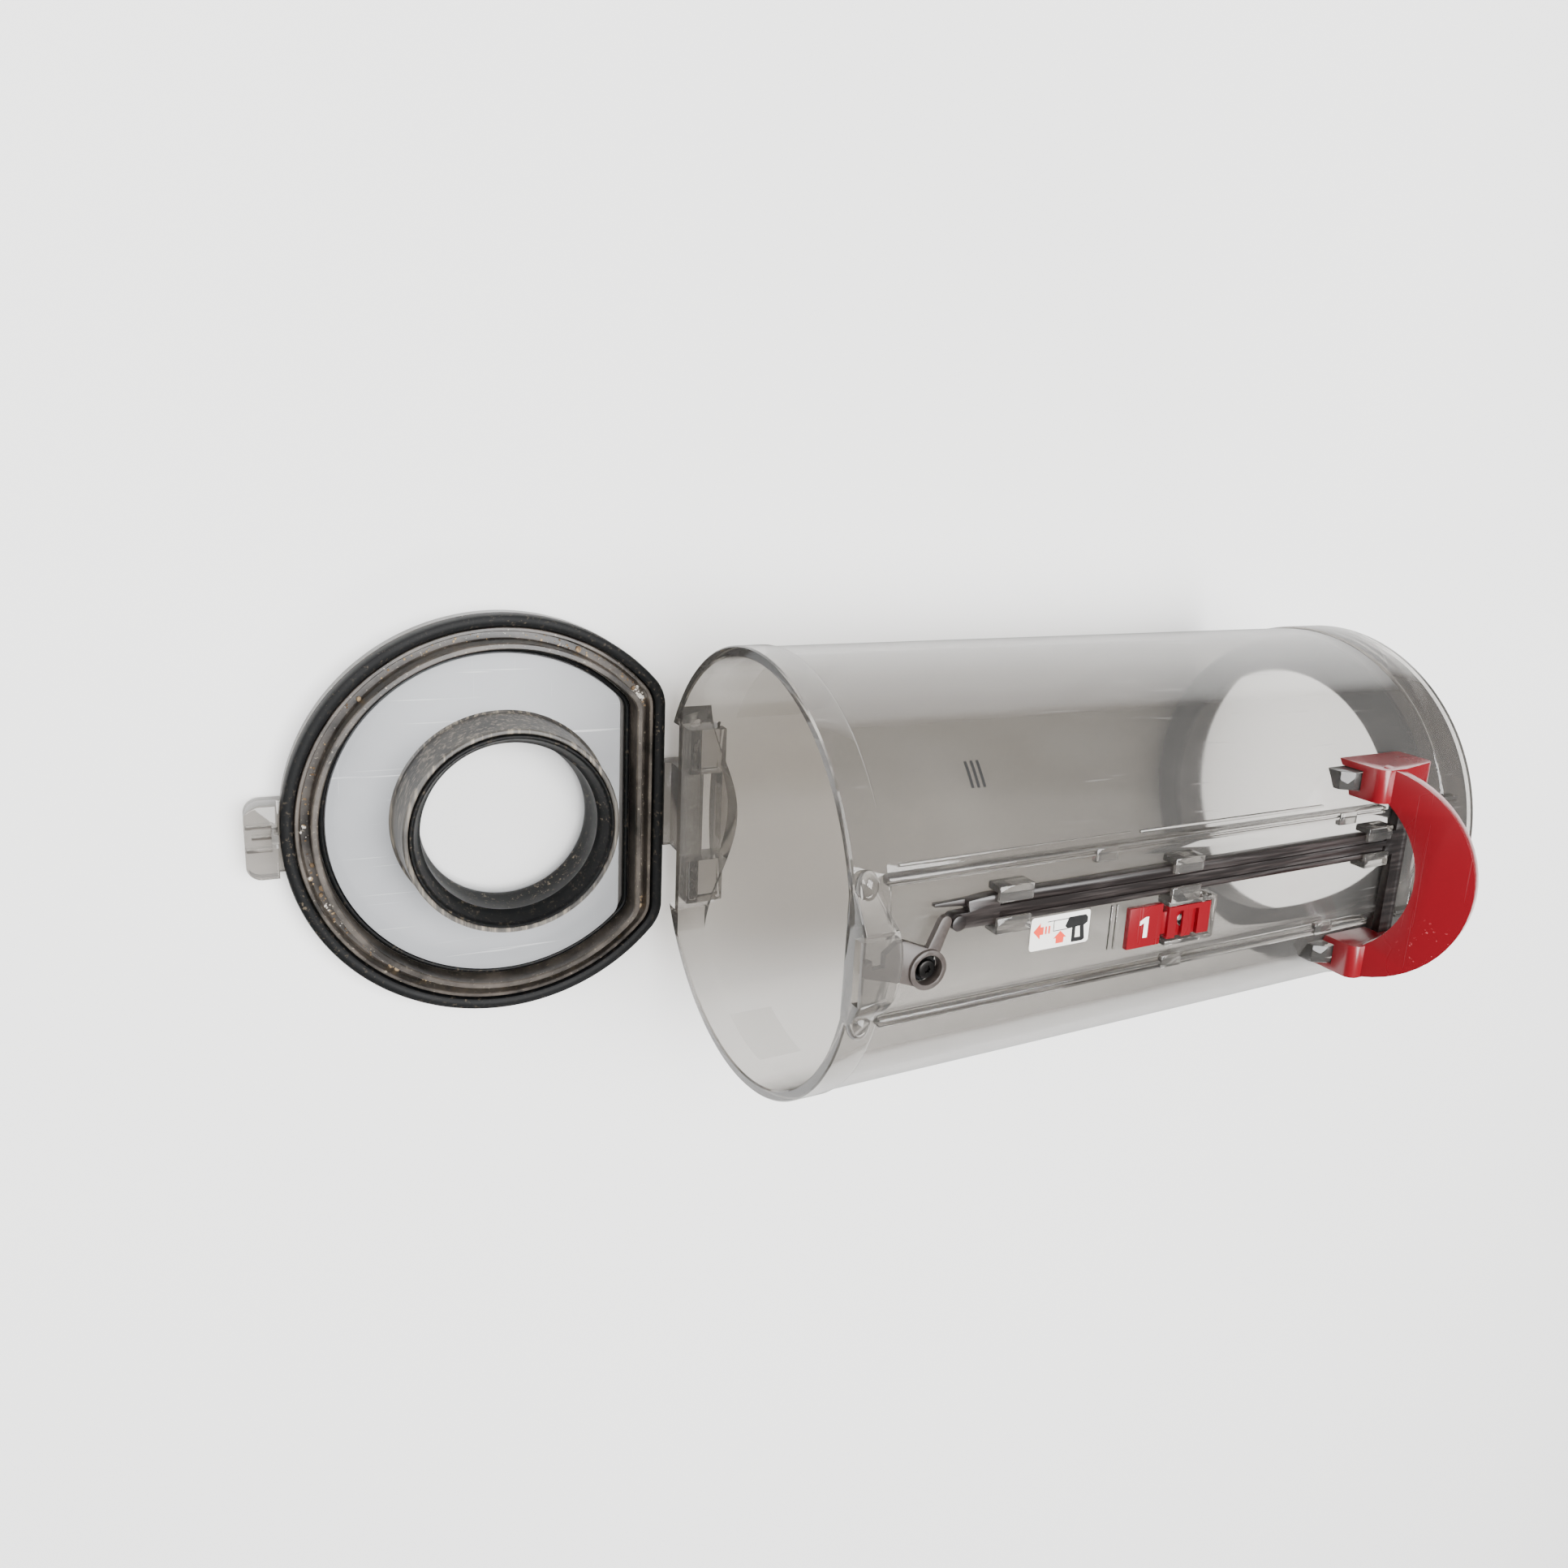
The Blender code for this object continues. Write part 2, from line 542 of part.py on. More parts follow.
# ---- the flap, drawn closed --------------------------------------------------------------
def flap_frame():
    """Clear frame of the flap: flange, two walls, ledge, knuckle, tongue and lug."""
    flange_top = -SEAL_HEIGHT - 2 * GAP
    wall_in = SEAL_WIDTH + GAP
    wall_out = wall_in + CHANNEL_WALL
    rim_in = wall_out + CHANNEL_WIDTH
    ledge_in = rim_in + RIM_WALL
    ledge_top = -FLAP_DEPTH + LEDGE_THICKNESS
    opening = ledge_in + LEDGE_WIDTH
    extra = LEDGE_EXTRA_CHORD
    frame = d_turned([
        (-FLAP_DEPTH, 0, 0), (flange_top, 0, 0), (flange_top, wall_in, 0), (-CHANNEL_WALL_DROP, wall_in, 0),
        (-CHANNEL_WALL_DROP, wall_out, 0), (flange_top, wall_out, 0), (flange_top, rim_in, 0),
        (RIM_RISE, rim_in, 0), (RIM_RISE, ledge_in, 0), (ledge_top, ledge_in, 0),
        (ledge_top, opening, extra), (-FLAP_DEPTH, opening, extra)])
    tongue(frame)
    flap_knuckle(frame)
    return frame


def tongue(frame):
    """Thumb tongue at the free side and the barbed lug that the catch holds."""
    flange_top = -SEAL_HEIGHT - 2 * GAP
    half = TONGUE_WIDTH / 2
    tip = FLAP_RADIUS + TONGUE_LENGTH
    outline = [(TONGUE_CENTRE_Y + half, FLAP_RADIUS - 4 * MM)]
    outline += arc((TONGUE_CENTRE_Y + half - 4 * MM, tip - 4 * MM), 4 * MM, 0, 90, 4)
    outline += arc((TONGUE_CENTRE_Y - half + 4 * MM, tip - 4 * MM), 4 * MM, 90, 180, 4)
    outline += [(TONGUE_CENTRE_Y - half, FLAP_RADIUS - 4 * MM)]
    join(frame, prism(outline, -FLAP_DEPTH + 1 * MM, flange_top - 0.3 * MM, "YZ"))
    upper = [(y, max(z, FLAP_RADIUS + 0.5 * MM)) for y, z in outline]
    join(frame, prism(upper, flange_top - 1 * MM, -2 * GAP, "YZ"))
    bar_low = CATCH_Y + LUG_OFFSET
    bar_high = bar_low + LUG_WIDTH
    lug = [(-1.5 * MM, bar_low), (LUG_REACH - BARB_LENGTH, bar_low),
           (LUG_REACH - BARB_LENGTH, bar_low - BARB_BITE),
           (LUG_REACH, bar_low), (LUG_REACH, bar_high), (-1.5 * MM, bar_high)]
    join(frame, prism(lug, LUG_Z, LUG_Z + LUG_HEIGHT, "XY"))


def flap_knuckle(frame):
    """Knuckle between the bin's two, and the neck that reaches it past the mouth."""
    half = FLAP_KNUCKLE / 2
    outline = arc((HINGE_X, HINGE_Z), KNUCKLE_RADIUS, -90, 90, 8)
    outline += [(-2.0 * MM, HINGE_Z + KNUCKLE_RADIUS), (-2.0 * MM, -CHORD + 2 * MM),
                (-8.0 * MM, -CHORD + 2 * MM), (-8.0 * MM, HINGE_Z - KNUCKLE_RADIUS)]
    flange_top = -SEAL_HEIGHT - 2 * GAP
    neck = prism(outline, -half, half, "XZ")
    relief = box((flange_top - 0.2 * MM, -half - 1 * MM, -CHORD - 0.5 * MM),
                 (1 * MM, half + 1 * MM, -CHORD + 3 * MM))
    cut(neck, relief)
    join(frame, neck)
    cut(frame, cylinder((HINGE_X, -half - 1 * MM, HINGE_Z), PIN_RADIUS + PIN_GAP,
                        FLAP_KNUCKLE + 2 * MM, "Y"))


def floor_inset():
    return SEAL_WIDTH + GAP + CHANNEL_WALL + CHANNEL_WIDTH + RIM_WALL + 2 * GAP + GASKET_WIDTH


def floor_level():
    """Underside of the floor, one gap above the frame's ledge."""
    return -FLAP_DEPTH + LEDGE_THICKNESS + GAP


def flap_floor():
    """Clear floor with the cup that seals against the cyclone."""
    low = floor_level()
    top = low + FLOOR_THICKNESS
    floor = prism(d_outline(floor_inset(), 1.5 * MM), low, top, "YZ")
    cup = lathe([(top - 1 * MM, CUP_BASE_RADIUS), (CUP_RISE, CUP_RIM_RADIUS),
                 (CUP_RISE, CUP_BORE), (top - 1 * MM, CUP_BORE)])
    return join(floor, cup)


def floor_gasket():
    low = floor_level()
    outer = floor_inset() - GASKET_WIDTH - GAP
    return d_ring(outer, outer + GASKET_WIDTH, low, low + GASKET_HEIGHT)


def flap_seal():
    return d_ring(0, SEAL_WIDTH, -GAP - SEAL_HEIGHT, -GAP)


def cup_seal():
    low = floor_level() + FLOOR_THICKNESS + GAP
    outer = CUP_BORE - GAP
    top = CUP_RISE + 0.6 * MM
    return lathe([(low, CUP_SEAL_THROAT), (low, outer), (top, outer), (top, CUP_SEAL_MOUTH + 0.5 * MM),
                  (top - 1.2 * MM, CUP_SEAL_MOUTH), (0.0, CUP_SEAL_THROAT + 1.0 * MM)], 72)


def hinge_pin():
    return cylinder((HINGE_X, -HINGE_LENGTH / 2, HINGE_Z), PIN_RADIUS, HINGE_LENGTH, "Y")


# ---- catch at the mouth ------------------------------------------------------------------
def catch_lever():
    """Two-armed catch: hook towards the mouth, arm towards the rod."""
    px, py = CATCH_X, CATCH_Y
    tail = LUG_REACH - BARB_LENGTH - 0.4 * MM
    notch_end = LUG_REACH + 0.5 * MM
    notch_floor = py + LUG_OFFSET - BARB_BITE - 0.5 * MM
    hook = [(px + 0.5 * MM, py + 4.7 * MM), (px - 6 * MM, py + 7.6 * MM),
            (px - 8.4 * MM, py + 7.8 * MM), (notch_end, py + 5.4 * MM), (notch_end, notch_floor),
            (tail, notch_floor), (tail, py + 4.6 * MM),
            (tail - 1.8 * MM, py + 3.4 * MM), (tail - 2.0 * MM, py + 1.0 * MM),
            (px - 11.9 * MM, py - 0.6 * MM), (px - 7 * MM, py - 2.2 * MM),
            (px - 2.4 * MM, py - 4.0 * MM)]
    lever = prism(hook, PLATE_Z, PLATE_TOP, "XY")
    join(lever, cylinder((px, py, PLATE_Z + 0.05 * MM), CATCH_HUB_RADIUS, CATCH_PLATE + 0.8 * MM,
                         sides=36))
    turn = math.radians(CATCH_ARM_ANGLE)
    half = CATCH_ARM_WIDTH / 2
    reach = CATCH_ARM_LENGTH - half
    end = arc((reach, 0), half, -90, 90, 8)
    arm = [(px + a * math.cos(turn) - b * math.sin(turn), py + a * math.sin(turn) + b * math.cos(turn))
           for a, b in [(0, half * 1.3), (0, -half * 1.3)] + end]
    join(lever, prism(arm, PLATE_Z + 0.1 * MM, PLATE_TOP - 0.1 * MM, "XY"))
    cut(lever, cylinder((px, py, PLATE_Z - 3 * MM), CATCH_HUB_BORE, 8 * MM, sides=36))
    return lever


def catch_bush():
    outer = CATCH_HUB_BORE - PIN_GAP
    low = DECK_HEIGHT + GAP
    top = DECK_HEIGHT + 2.2 * MM + GAP
    return lathe([(low, 2.6 * MM + GAP), (low, outer), (top + 0.6 * MM, outer),
                  (top + 0.6 * MM, SCREW_RADIUS + PIN_GAP), (top, SCREW_RADIUS + PIN_GAP),
                  (top, 2.6 * MM + GAP)], 36, "Z", (CATCH_X, CATCH_Y, 0))


def screw(x, y, tip, seat, head_up=True, sides=SMALL_ROUND):
    """A screw along Z between its tip and the seat under its head."""
    low, high = sorted((tip, seat))
    body = cylinder((x, y, low), SCREW_RADIUS, high - low, sides=sides)
    start = seat - 0.1 * MM if head_up else seat - SCREW_HEAD_HEIGHT
    head = cylinder((x, y, start), SCREW_HEAD_RADIUS, SCREW_HEAD_HEIGHT + 0.1 * MM, sides=sides)
    join(body, head)
    face = seat + SCREW_HEAD_HEIGHT if head_up else seat - SCREW_HEAD_HEIGHT
    drive = cylinder((x, y, face - 0.6 * MM), 0.9 * MM, 1.2 * MM, sides=6)
    return cut(body, drive)


def catch_screw():
    seat = DECK_HEIGHT + 2.2 * MM + GAP + 0.6 * MM + GAP
    return screw(CATCH_X, CATCH_Y, DECK_HEIGHT - 1.4 * MM, seat)


def catch_spring():
    """Torsion spring round the post, with one leg along the catch's arm."""
    radius = CATCH_HUB_BORE + 0.5 * MM
    base = DECK_HEIGHT + GAP + SPRING_WIRE
    turn = math.radians(CATCH_ARM_ANGLE)
    pitch = 2 * SPRING_WIRE + 0.1 * MM
    top = base + pitch * CATCH_SPRING_TURNS
    side = Vector((math.cos(turn), math.sin(turn), 0))
    lead = Vector((CATCH_X, CATCH_Y, top)) + side * (CATCH_ARM_LENGTH / 2)
    off = Vector((math.sin(turn), -math.cos(turn), 0)) * radius
    start = CATCH_ARM_ANGLE - 90.0
    return coil((CATCH_X, CATCH_Y, base), radius, SPRING_WIRE, CATCH_SPRING_TURNS, pitch, start,
                [lead + off * 0.2])


# ---- rod and lever -----------------------------------------------------------------------
def nose_front():
    """Where the rod's nose starts, one clearance off the flank of the catch's arm."""
    turn = math.radians(CATCH_ARM_ANGLE)
    height = ROD_NOSE_Y - CATCH_Y
    flank = CATCH_X + height / math.tan(turn) + CATCH_ARM_WIDTH / 2 / math.sin(turn)
    return flank + 0.5 * MM


def release_rod():
    """Long flat push rod with a finger and a round nose in front and a cross plate behind."""
    nose_x = nose_front() + ROD_NOSE_RADIUS
    finger = nose_x - 5.2 * MM
    outline = [(SCREW_X, ROD_LOW_Y), (nose_x + 8 * MM, ROD_LOW_Y), (nose_x, ROD_NOSE_Y - ROD_NOSE_RADIUS)]
    outline += arc((nose_x, ROD_NOSE_Y), ROD_NOSE_RADIUS, 270, 90, 8)[1:]
    outline += [(nose_x + 3.5 * MM, ROD_NOSE_Y + ROD_NOSE_RADIUS), (nose_x + 3.2 * MM, ROD_HIGH_Y - 2.2 * MM),
                (finger, ROD_HIGH_Y - 1.5 * MM), (finger, ROD_HIGH_Y - 0.8 * MM),
                (nose_x + 3 * MM, ROD_HIGH_Y - 0.6 * MM), (nose_x + 9 * MM, ROD_HIGH_Y),
                (SCREW_X, ROD_HIGH_Y)]
    rod = prism(outline, ROD_BOTTOM, ROD_TOP, "XY")
    cut(rod, box((finger - 1 * MM, ROD_HIGH_Y - 3.0 * MM, ROD_BOTTOM + 1.3 * MM),
                 (nose_x + 3 * MM, ROD_HIGH_Y + 1 * MM, ROD_TOP + 1 * MM)))
    join(rod, cylinder((nose_x, ROD_NOSE_Y, ROD_BOTTOM + 0.2 * MM), ROD_NOSE_RADIUS - 0.05 * MM,
                       PLATE_TOP - ROD_BOTTOM - 0.3 * MM))
    for y in (ROD_CENTRE_Y - ROD_WIDTH / 5, ROD_CENTRE_Y + ROD_WIDTH / 5):
        cut(rod, box((nose_x + 12 * MM, y - ROD_GROOVE, ROD_TOP - ROD_GROOVE),
                     (CROSS_X - 4 * MM, y + ROD_GROOVE, ROD_TOP + 1 * MM)))
    low = ROD_BOTTOM + 0.3 * MM
    plate = box((CROSS_X, -CROSS_PLATE_REACH, low),
                (CROSS_X + CROSS_PLATE, CROSS_PLATE_REACH, ROD_TOP - 0.3 * MM))
    join(rod, plate)
    for side in (-1, 1):
        cut(rod, cylinder((SCREW_X, side * LEVER_SCREW_Y, low - 2 * MM), SCREW_RADIUS + PIN_GAP, 6 * MM))
    return rod


def lever_arch():
    """Leaning crescent between two circles, cut off above the feet."""
    outline = []
    steps = 28
    cut_off = (LEVER_FOOT_TOP - DECK_HEIGHT - 3.0 * MM) * math.hypot(1, LEVER_LEAN)
    outer_start = math.degrees(math.asin((cut_off - ARCH_OUTER_RISE) / ARCH_OUTER_RADIUS))
    inner_start = math.degrees(math.asin((cut_off - ARCH_INNER_RISE) / ARCH_INNER_RADIUS))
    outline += arc((0, ARCH_OUTER_RISE), ARCH_OUTER_RADIUS, outer_start, 180 - outer_start, steps)
    outline += arc((0, ARCH_INNER_RISE), ARCH_INNER_RADIUS, 180 - inner_start, inner_start, steps)
    arch = prism(outline, 0.0, LEVER_THICKNESS, "YZ")
    angle = math.atan(LEVER_LEAN)
    place = Matrix.Translation((LEVER_ARCH_X, 0, DECK_HEIGHT)) @ Matrix.Rotation(angle, 4, "Y")
    arch.data.transform(place)
    return arch


def lever_foot(side):
    """Rounded foot that rides over a guide and holds the end of the cross plate."""
    low, high = sorted((side * LEVER_FOOT_INNER, side * LEVER_FOOT_OUTER))
    back_top = LEVER_FOOT_TOP - 2.6 * MM
    floor = DECK_HEIGHT - 10 * MM
    top = [(LEVER_FRONT, floor)]
    top += arc((LEVER_FRONT + 3 * MM, LEVER_FOOT_TOP - 3 * MM), 3 * MM, 180, 90, 4)
    top += [(LEVER_FRONT + 9 * MM, LEVER_FOOT_TOP)]
    top += arc((LEVER_BACK - 3 * MM, back_top - 3 * MM), 3 * MM, 90, 0, 4)
    top += [(LEVER_BACK, floor)]
    foot = prism(top, low, high, "XZ")
    cut(foot, cylinder((LEVER_FRONT - 5 * MM, 0, 0), TUBE_RADIUS + 0.4 * MM,
                       LEVER_FOOT_LENGTH + 10 * MM, "X", ROUND))
    centre = side * (LEVER_FOOT_INNER + LEVER_FOOT_OUTER) / 2
    half = GUIDE_WIDTH / 2 + 0.4 * MM
    guide_end = LEVER_FRONT - GUIDE_RAMP + GUIDE_LENGTH
    cut(foot, box((LEVER_FRONT - 1 * MM, centre - half, floor - 1 * MM),
                  (guide_end + ROD_TRAVEL + 0.6 * MM, centre + half, GUIDE_HEIGHT + 0.4 * MM)))
    inner, outer = sorted((side * (LEVER_FOOT_INNER - 1 * MM), side * (CROSS_PLATE_REACH + 0.4 * MM)))
    cut(foot, box((CROSS_X - 0.4 * MM, inner, floor - 1 * MM),
                  (CROSS_X + CROSS_PLATE + 0.4 * MM, outer, ROD_TOP)))
    cut(foot, cylinder((SCREW_X, side * LEVER_SCREW_Y, ROD_TOP - 1 * MM), SCREW_RADIUS + PIN_GAP, 4 * MM))
    return foot


def release_lever():
    return join(lever_arch(), lever_foot(-1), lever_foot(1))


def lever_screw(side):
    seat = ROD_BOTTOM + 0.3 * MM - GAP
    return screw(SCREW_X, side * LEVER_SCREW_Y, ROD_TOP + 2.4 * MM, seat, head_up=False)


# ---- bin button --------------------------------------------------------------------------
def bin_button():
    """Red rocker: square pad, neck and catch block on one pivot."""
    low = DECK_HEIGHT + BUTTON_LIFT
    half = BUTTON_SIZE / 2
    narrow = half - 1.2 * MM
    pad_end = BUTTON_X + BUTTON_SIZE
    pad = box((BUTTON_X, BUTTON_Y - half, low), (pad_end, BUTTON_Y + half, low + BUTTON_THICKNESS))
    neck = box((pad_end - 1 * MM, BUTTON_Y - 3 * MM, low),
               (HOUSING_START + 2 * MM, BUTTON_Y + 3 * MM, low + BUTTON_THICKNESS - 0.3 * MM))
    back = BUTTON_PIVOT_X + 1.8 * MM
    block = box((HOUSING_START + 0.8 * MM, BUTTON_Y - narrow, low - 0.6 * MM),
                (back, BUTTON_Y + narrow, low + BUTTON_THICKNESS + 0.6 * MM))
    join(pad, neck, block)
    for start in (94.6 * MM, 100.0 * MM):
        cut(pad, box((start, BUTTON_Y - narrow - 1 * MM, low + 1.0 * MM),
                     (start + 2.2 * MM, BUTTON_Y + narrow - 1.4 * MM, low + 4 * MM)))
    cut(pad, cylinder((97.9 * MM, BUTTON_Y, low - 1 * MM), 2.0 * MM, 2.4 * MM))
    cut(pad, cylinder((BUTTON_PIVOT_X, BUTTON_Y - half, low + 0.6 * MM),
                      BUTTON_PIN_RADIUS + PIN_GAP, BUTTON_SIZE, "Y", 16))
    return pad


def button_pin():
    half = BUTTON_SIZE / 2 + 0.2 * MM
    return cylinder((BUTTON_PIVOT_X, BUTTON_Y - half, DECK_HEIGHT + BUTTON_LIFT + 0.6 * MM),
                    BUTTON_PIN_RADIUS, 2 * half, "Y", 16)


def button_spring():
    base = DECK_HEIGHT + GAP + 0.25 * MM
    room = BUTTON_LIFT + 1.4 * MM - 2 * GAP - 0.5 * MM
    turns = 3.0
    return coil((97.9 * MM, BUTTON_Y, base), 1.4 * MM, 0.22 * MM, turns, room / turns)


def instruction_label():
    low = DECK_HEIGHT + GAP
    return box((LABEL_X, LABEL_Y, low),
               (LABEL_X + LABEL_LENGTH, LABEL_Y + LABEL_WIDTH, low + LABEL_THICKNESS))


# ---- assembly ----------------------------------------------------------------------------
def rest_on_floor(root):
    """Level the flap, then put the middle of the object's footprint at the origin."""
    root.rotation_euler = (0, flap_rest_angle() - math.pi / 2, 0)
    bpy.context.view_layer.update()
    corners = [o.matrix_world @ v.co for o in bpy.data.objects if o.type == "MESH" for v in o.data.vertices]
    low = [min(c[i] for c in corners) for i in range(3)]
    high = [max(c[i] for c in corners) for i in range(3)]
    root.location = (-(low[0] + high[0]) / 2, -(low[1] + high[1]) / 2, -low[2])


def build():
    for obj in list(bpy.data.objects):
        bpy.data.objects.remove(obj)
    clear = material("clear_plastic", (0.62, 0.60, 0.55), 0.12, alpha=0.35)
    smoke = material("smoke_plastic", (0.10, 0.09, 0.09), 0.25, alpha=0.75)
    red = material("red_plastic", (0.55, 0.01, 0.02), 0.25)
    rubber = material("black_rubber", (0.02, 0.02, 0.02), 0.65)
    rod_grey = material("rod_plastic", (0.06, 0.05, 0.05), 0.35)
    grey = material("catch_plastic", (0.20, 0.18, 0.17), 0.45)
    steel = material("steel", (0.55, 0.55, 0.55), 0.30, metallic=1.0)
    blackened = material("blackened_steel", (0.05, 0.05, 0.05), 0.40, metallic=1.0)
    paper = material("label_film", (0.85, 0.85, 0.85), 0.40)

    button_axis = (BUTTON_PIVOT_X, BUTTON_Y, DECK_HEIGHT + BUTTON_LIFT + 0.6 * MM)
    root = body_empty("bin_frame", (0, 0, 0))
    flap = body_empty("flap_axis", HINGE_POINT, root)
    catch = body_empty("catch_axis", (CATCH_X, CATCH_Y, PLATE_Z), root)
    slide = body_empty("slide_axis", (LEVER_FRONT, 0, DECK_HEIGHT), root)
    button = body_empty("button_axis", button_axis, root)

    pieces = [
        ("bin_shell", bin_shell, clear, root), ("collar_ring", collar_ring, smoke, root),
        ("scraper_seal", scraper_seal, rubber, root), ("hinge_pin", hinge_pin, steel, root),
        ("catch_bush", catch_bush, rubber, root), ("catch_screw", catch_screw, blackened, root),
        ("catch_spring", catch_spring, steel, root), ("button_pin", button_pin, steel, root),
        ("button_spring", button_spring, steel, root), ("instruction_label", instruction_label, paper, root),
        ("flap_frame", flap_frame, clear, flap), ("flap_floor", flap_floor, clear, flap),
        ("floor_gasket", floor_gasket, rubber, flap), ("flap_seal", flap_seal, rubber, flap),
        ("cup_seal", cup_seal, rubber, flap), ("catch_lever", catch_lever, grey, catch),
        ("release_rod", release_rod, rod_grey, slide), ("release_lever", release_lever, red, slide),
        ("lever_screw_left", lambda: lever_screw(-1), blackened, slide),
        ("lever_screw_right", lambda: lever_screw(1), blackened, slide),
        ("bin_button", bin_button, red, button),
    ]
    for name, make, finish, parent in pieces:
        finish_piece(make(), name, finish, parent)
    flap.rotation_euler = (0, -flap_rest_angle(), 0)
    rest_on_floor(root)


build()
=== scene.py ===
"""Clear dust bin of a stick vacuum cleaner: detailed pieces, finishes and a plain studio.

Every piece is drawn in the bin's own axes, with X from the mouth to the far end, Y across it and
Z out through the deck. The flap is drawn shut. Both are then put where the frame's joints say.
"""
import json
import math
import random

import bmesh
import bpy
from bpy.props import FloatProperty, FloatVectorProperty, IntProperty, PointerProperty
from mathutils import Matrix, Vector

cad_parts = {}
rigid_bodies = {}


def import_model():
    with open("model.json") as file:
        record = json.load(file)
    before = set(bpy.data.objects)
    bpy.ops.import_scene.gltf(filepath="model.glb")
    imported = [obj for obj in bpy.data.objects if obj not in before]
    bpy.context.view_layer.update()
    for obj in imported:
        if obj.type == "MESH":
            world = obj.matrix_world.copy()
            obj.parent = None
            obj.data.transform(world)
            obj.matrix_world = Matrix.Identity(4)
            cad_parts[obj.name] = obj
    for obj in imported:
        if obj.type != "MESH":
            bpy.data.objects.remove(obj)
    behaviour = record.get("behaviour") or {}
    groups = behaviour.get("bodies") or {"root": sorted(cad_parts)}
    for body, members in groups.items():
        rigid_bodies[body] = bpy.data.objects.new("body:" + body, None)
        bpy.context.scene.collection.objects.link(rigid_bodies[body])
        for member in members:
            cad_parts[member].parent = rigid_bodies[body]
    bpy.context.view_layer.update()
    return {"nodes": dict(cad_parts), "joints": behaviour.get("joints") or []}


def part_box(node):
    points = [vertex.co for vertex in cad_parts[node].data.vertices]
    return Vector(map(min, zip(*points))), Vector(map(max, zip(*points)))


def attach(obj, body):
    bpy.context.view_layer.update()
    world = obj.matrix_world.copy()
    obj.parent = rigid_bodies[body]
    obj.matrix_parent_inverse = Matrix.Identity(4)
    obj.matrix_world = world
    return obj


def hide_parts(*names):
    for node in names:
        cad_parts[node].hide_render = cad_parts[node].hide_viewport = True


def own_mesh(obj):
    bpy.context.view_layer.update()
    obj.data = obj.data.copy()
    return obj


for leftover in list(bpy.data.objects):
    bpy.data.objects.remove(leftover)
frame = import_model()

bl_info = {
    "name": "Vacuum Dust Bin",
    "version": (1, 0, 0),
    "blender": (4, 5, 0),
    "location": "View3D > Sidebar > Dust Bin",
    "description": "Builds the clear dust bin, its flap, its release mechanism and a plain studio",
    "category": "Object",
}

MM = 0.001

# ---- where things are, in the bin's own axes -------------------------------------------------
LENGTH = 216.0 * MM
RADIUS = 58.0 * MM
BAND = 58.5 * MM
BORE = 55.7 * MM
MOUTH_BAND = 8.5 * MM
FAR_BAND = 14.0 * MM
DECK = 56.0 * MM
DECK_START = 9.5 * MM
DECK_END = 194.0 * MM
RAIL_Y = 16.9 * MM
RAIL_TOP = DECK + 2.6 * MM
RAIL_END = 205.0 * MM
NOTCH = (172.7 * MM, 185.3 * MM)      # gap in the rails for the rod's cross plate
ROD_LOW_Y, ROD_HIGH_Y = 3.2 * MM, 10.4 * MM
ROD_TOP = DECK + 3.2 * MM
CLIPS = (36.5 * MM, 91.0 * MM, 164.2 * MM)
LEVER_FRONT = 161.0 * MM
GUIDE_TOP = DECK + 1.2 * MM
HINGE = Vector((6.5 * MM, 0.0, -52.4 * MM))
CHORD = 46.5 * MM                     # the mouth's flat side, from the bin's axis
POCKET = 15.5 * MM
PLATE_Z = 58.6 * MM
HOOD_CEILING = 60.9 * MM
HOOD_TOP = 62.2 * MM
CATCH = Vector((17.9 * MM, -4.4 * MM, PLATE_Z))
BUTTON_X, BUTTON_Y = 79.0 * MM, -5.0 * MM
BUTTON_SIZE = 11.0 * MM
BUTTON_TOP = DECK + 3.2 * MM
PIVOT_X = 104.5 * MM
FLAP_EDGE = 58.3 * MM
FLAP_CORNER = 12.0 * MM
FLAP_DEPTH = 10.5 * MM
FLANGE_TOP = -5.6 * MM
FLOOR_TOP = -4.4 * MM
CUP_BORE = 28.0 * MM
CUP_RISE = 12.0 * MM

JOINTS = {joint["name"]: joint for joint in frame["joints"]}


def bin_placement():
    """The bin's axes in the frame: X against the slide joint, and the hinge where its joint is."""
    along = -Vector(JOINTS["release_slide"]["axis"]).normalized()
    across = Vector((0.0, 1.0, 0.0))
    outward = along.cross(across)
    turn = Matrix((along, across, outward)).transposed().to_4x4()
    hinge = Vector(JOINTS["flap_hinge"]["pos_m"])
    return Matrix.Translation(hinge) @ turn @ Matrix.Translation(-HINGE)


def flap_placement():
    """A flap drawn shut, swung open about its hinge."""
    hinge = Vector(JOINTS["flap_hinge"]["pos_m"])
    opened = Matrix.Rotation(-math.radians(JOINTS["flap_hinge"]["range_deg"][1]), 4, "Y")
    return Matrix.Translation(hinge) @ opened @ Matrix.Translation(-hinge) @ bin_placement()


BIN = bin_placement()
FLAP = flap_placement()


def hex_colour(text):
    """Linear colour from an sRGB hex value."""
    values = [int(text[i:i + 2], 16) / 255 for i in (1, 3, 5)]
    linear = [v / 12.92 if v <= 0.04045 else ((v + 0.055) / 1.055) ** 2.4 for v in values]
    return (*linear, 1.0)


def colour_property(name, text, description):
    return FloatVectorProperty(name=name, description=description, subtype="COLOR", size=4,
                               min=0.0, max=1.0, default=hex_colour(text))


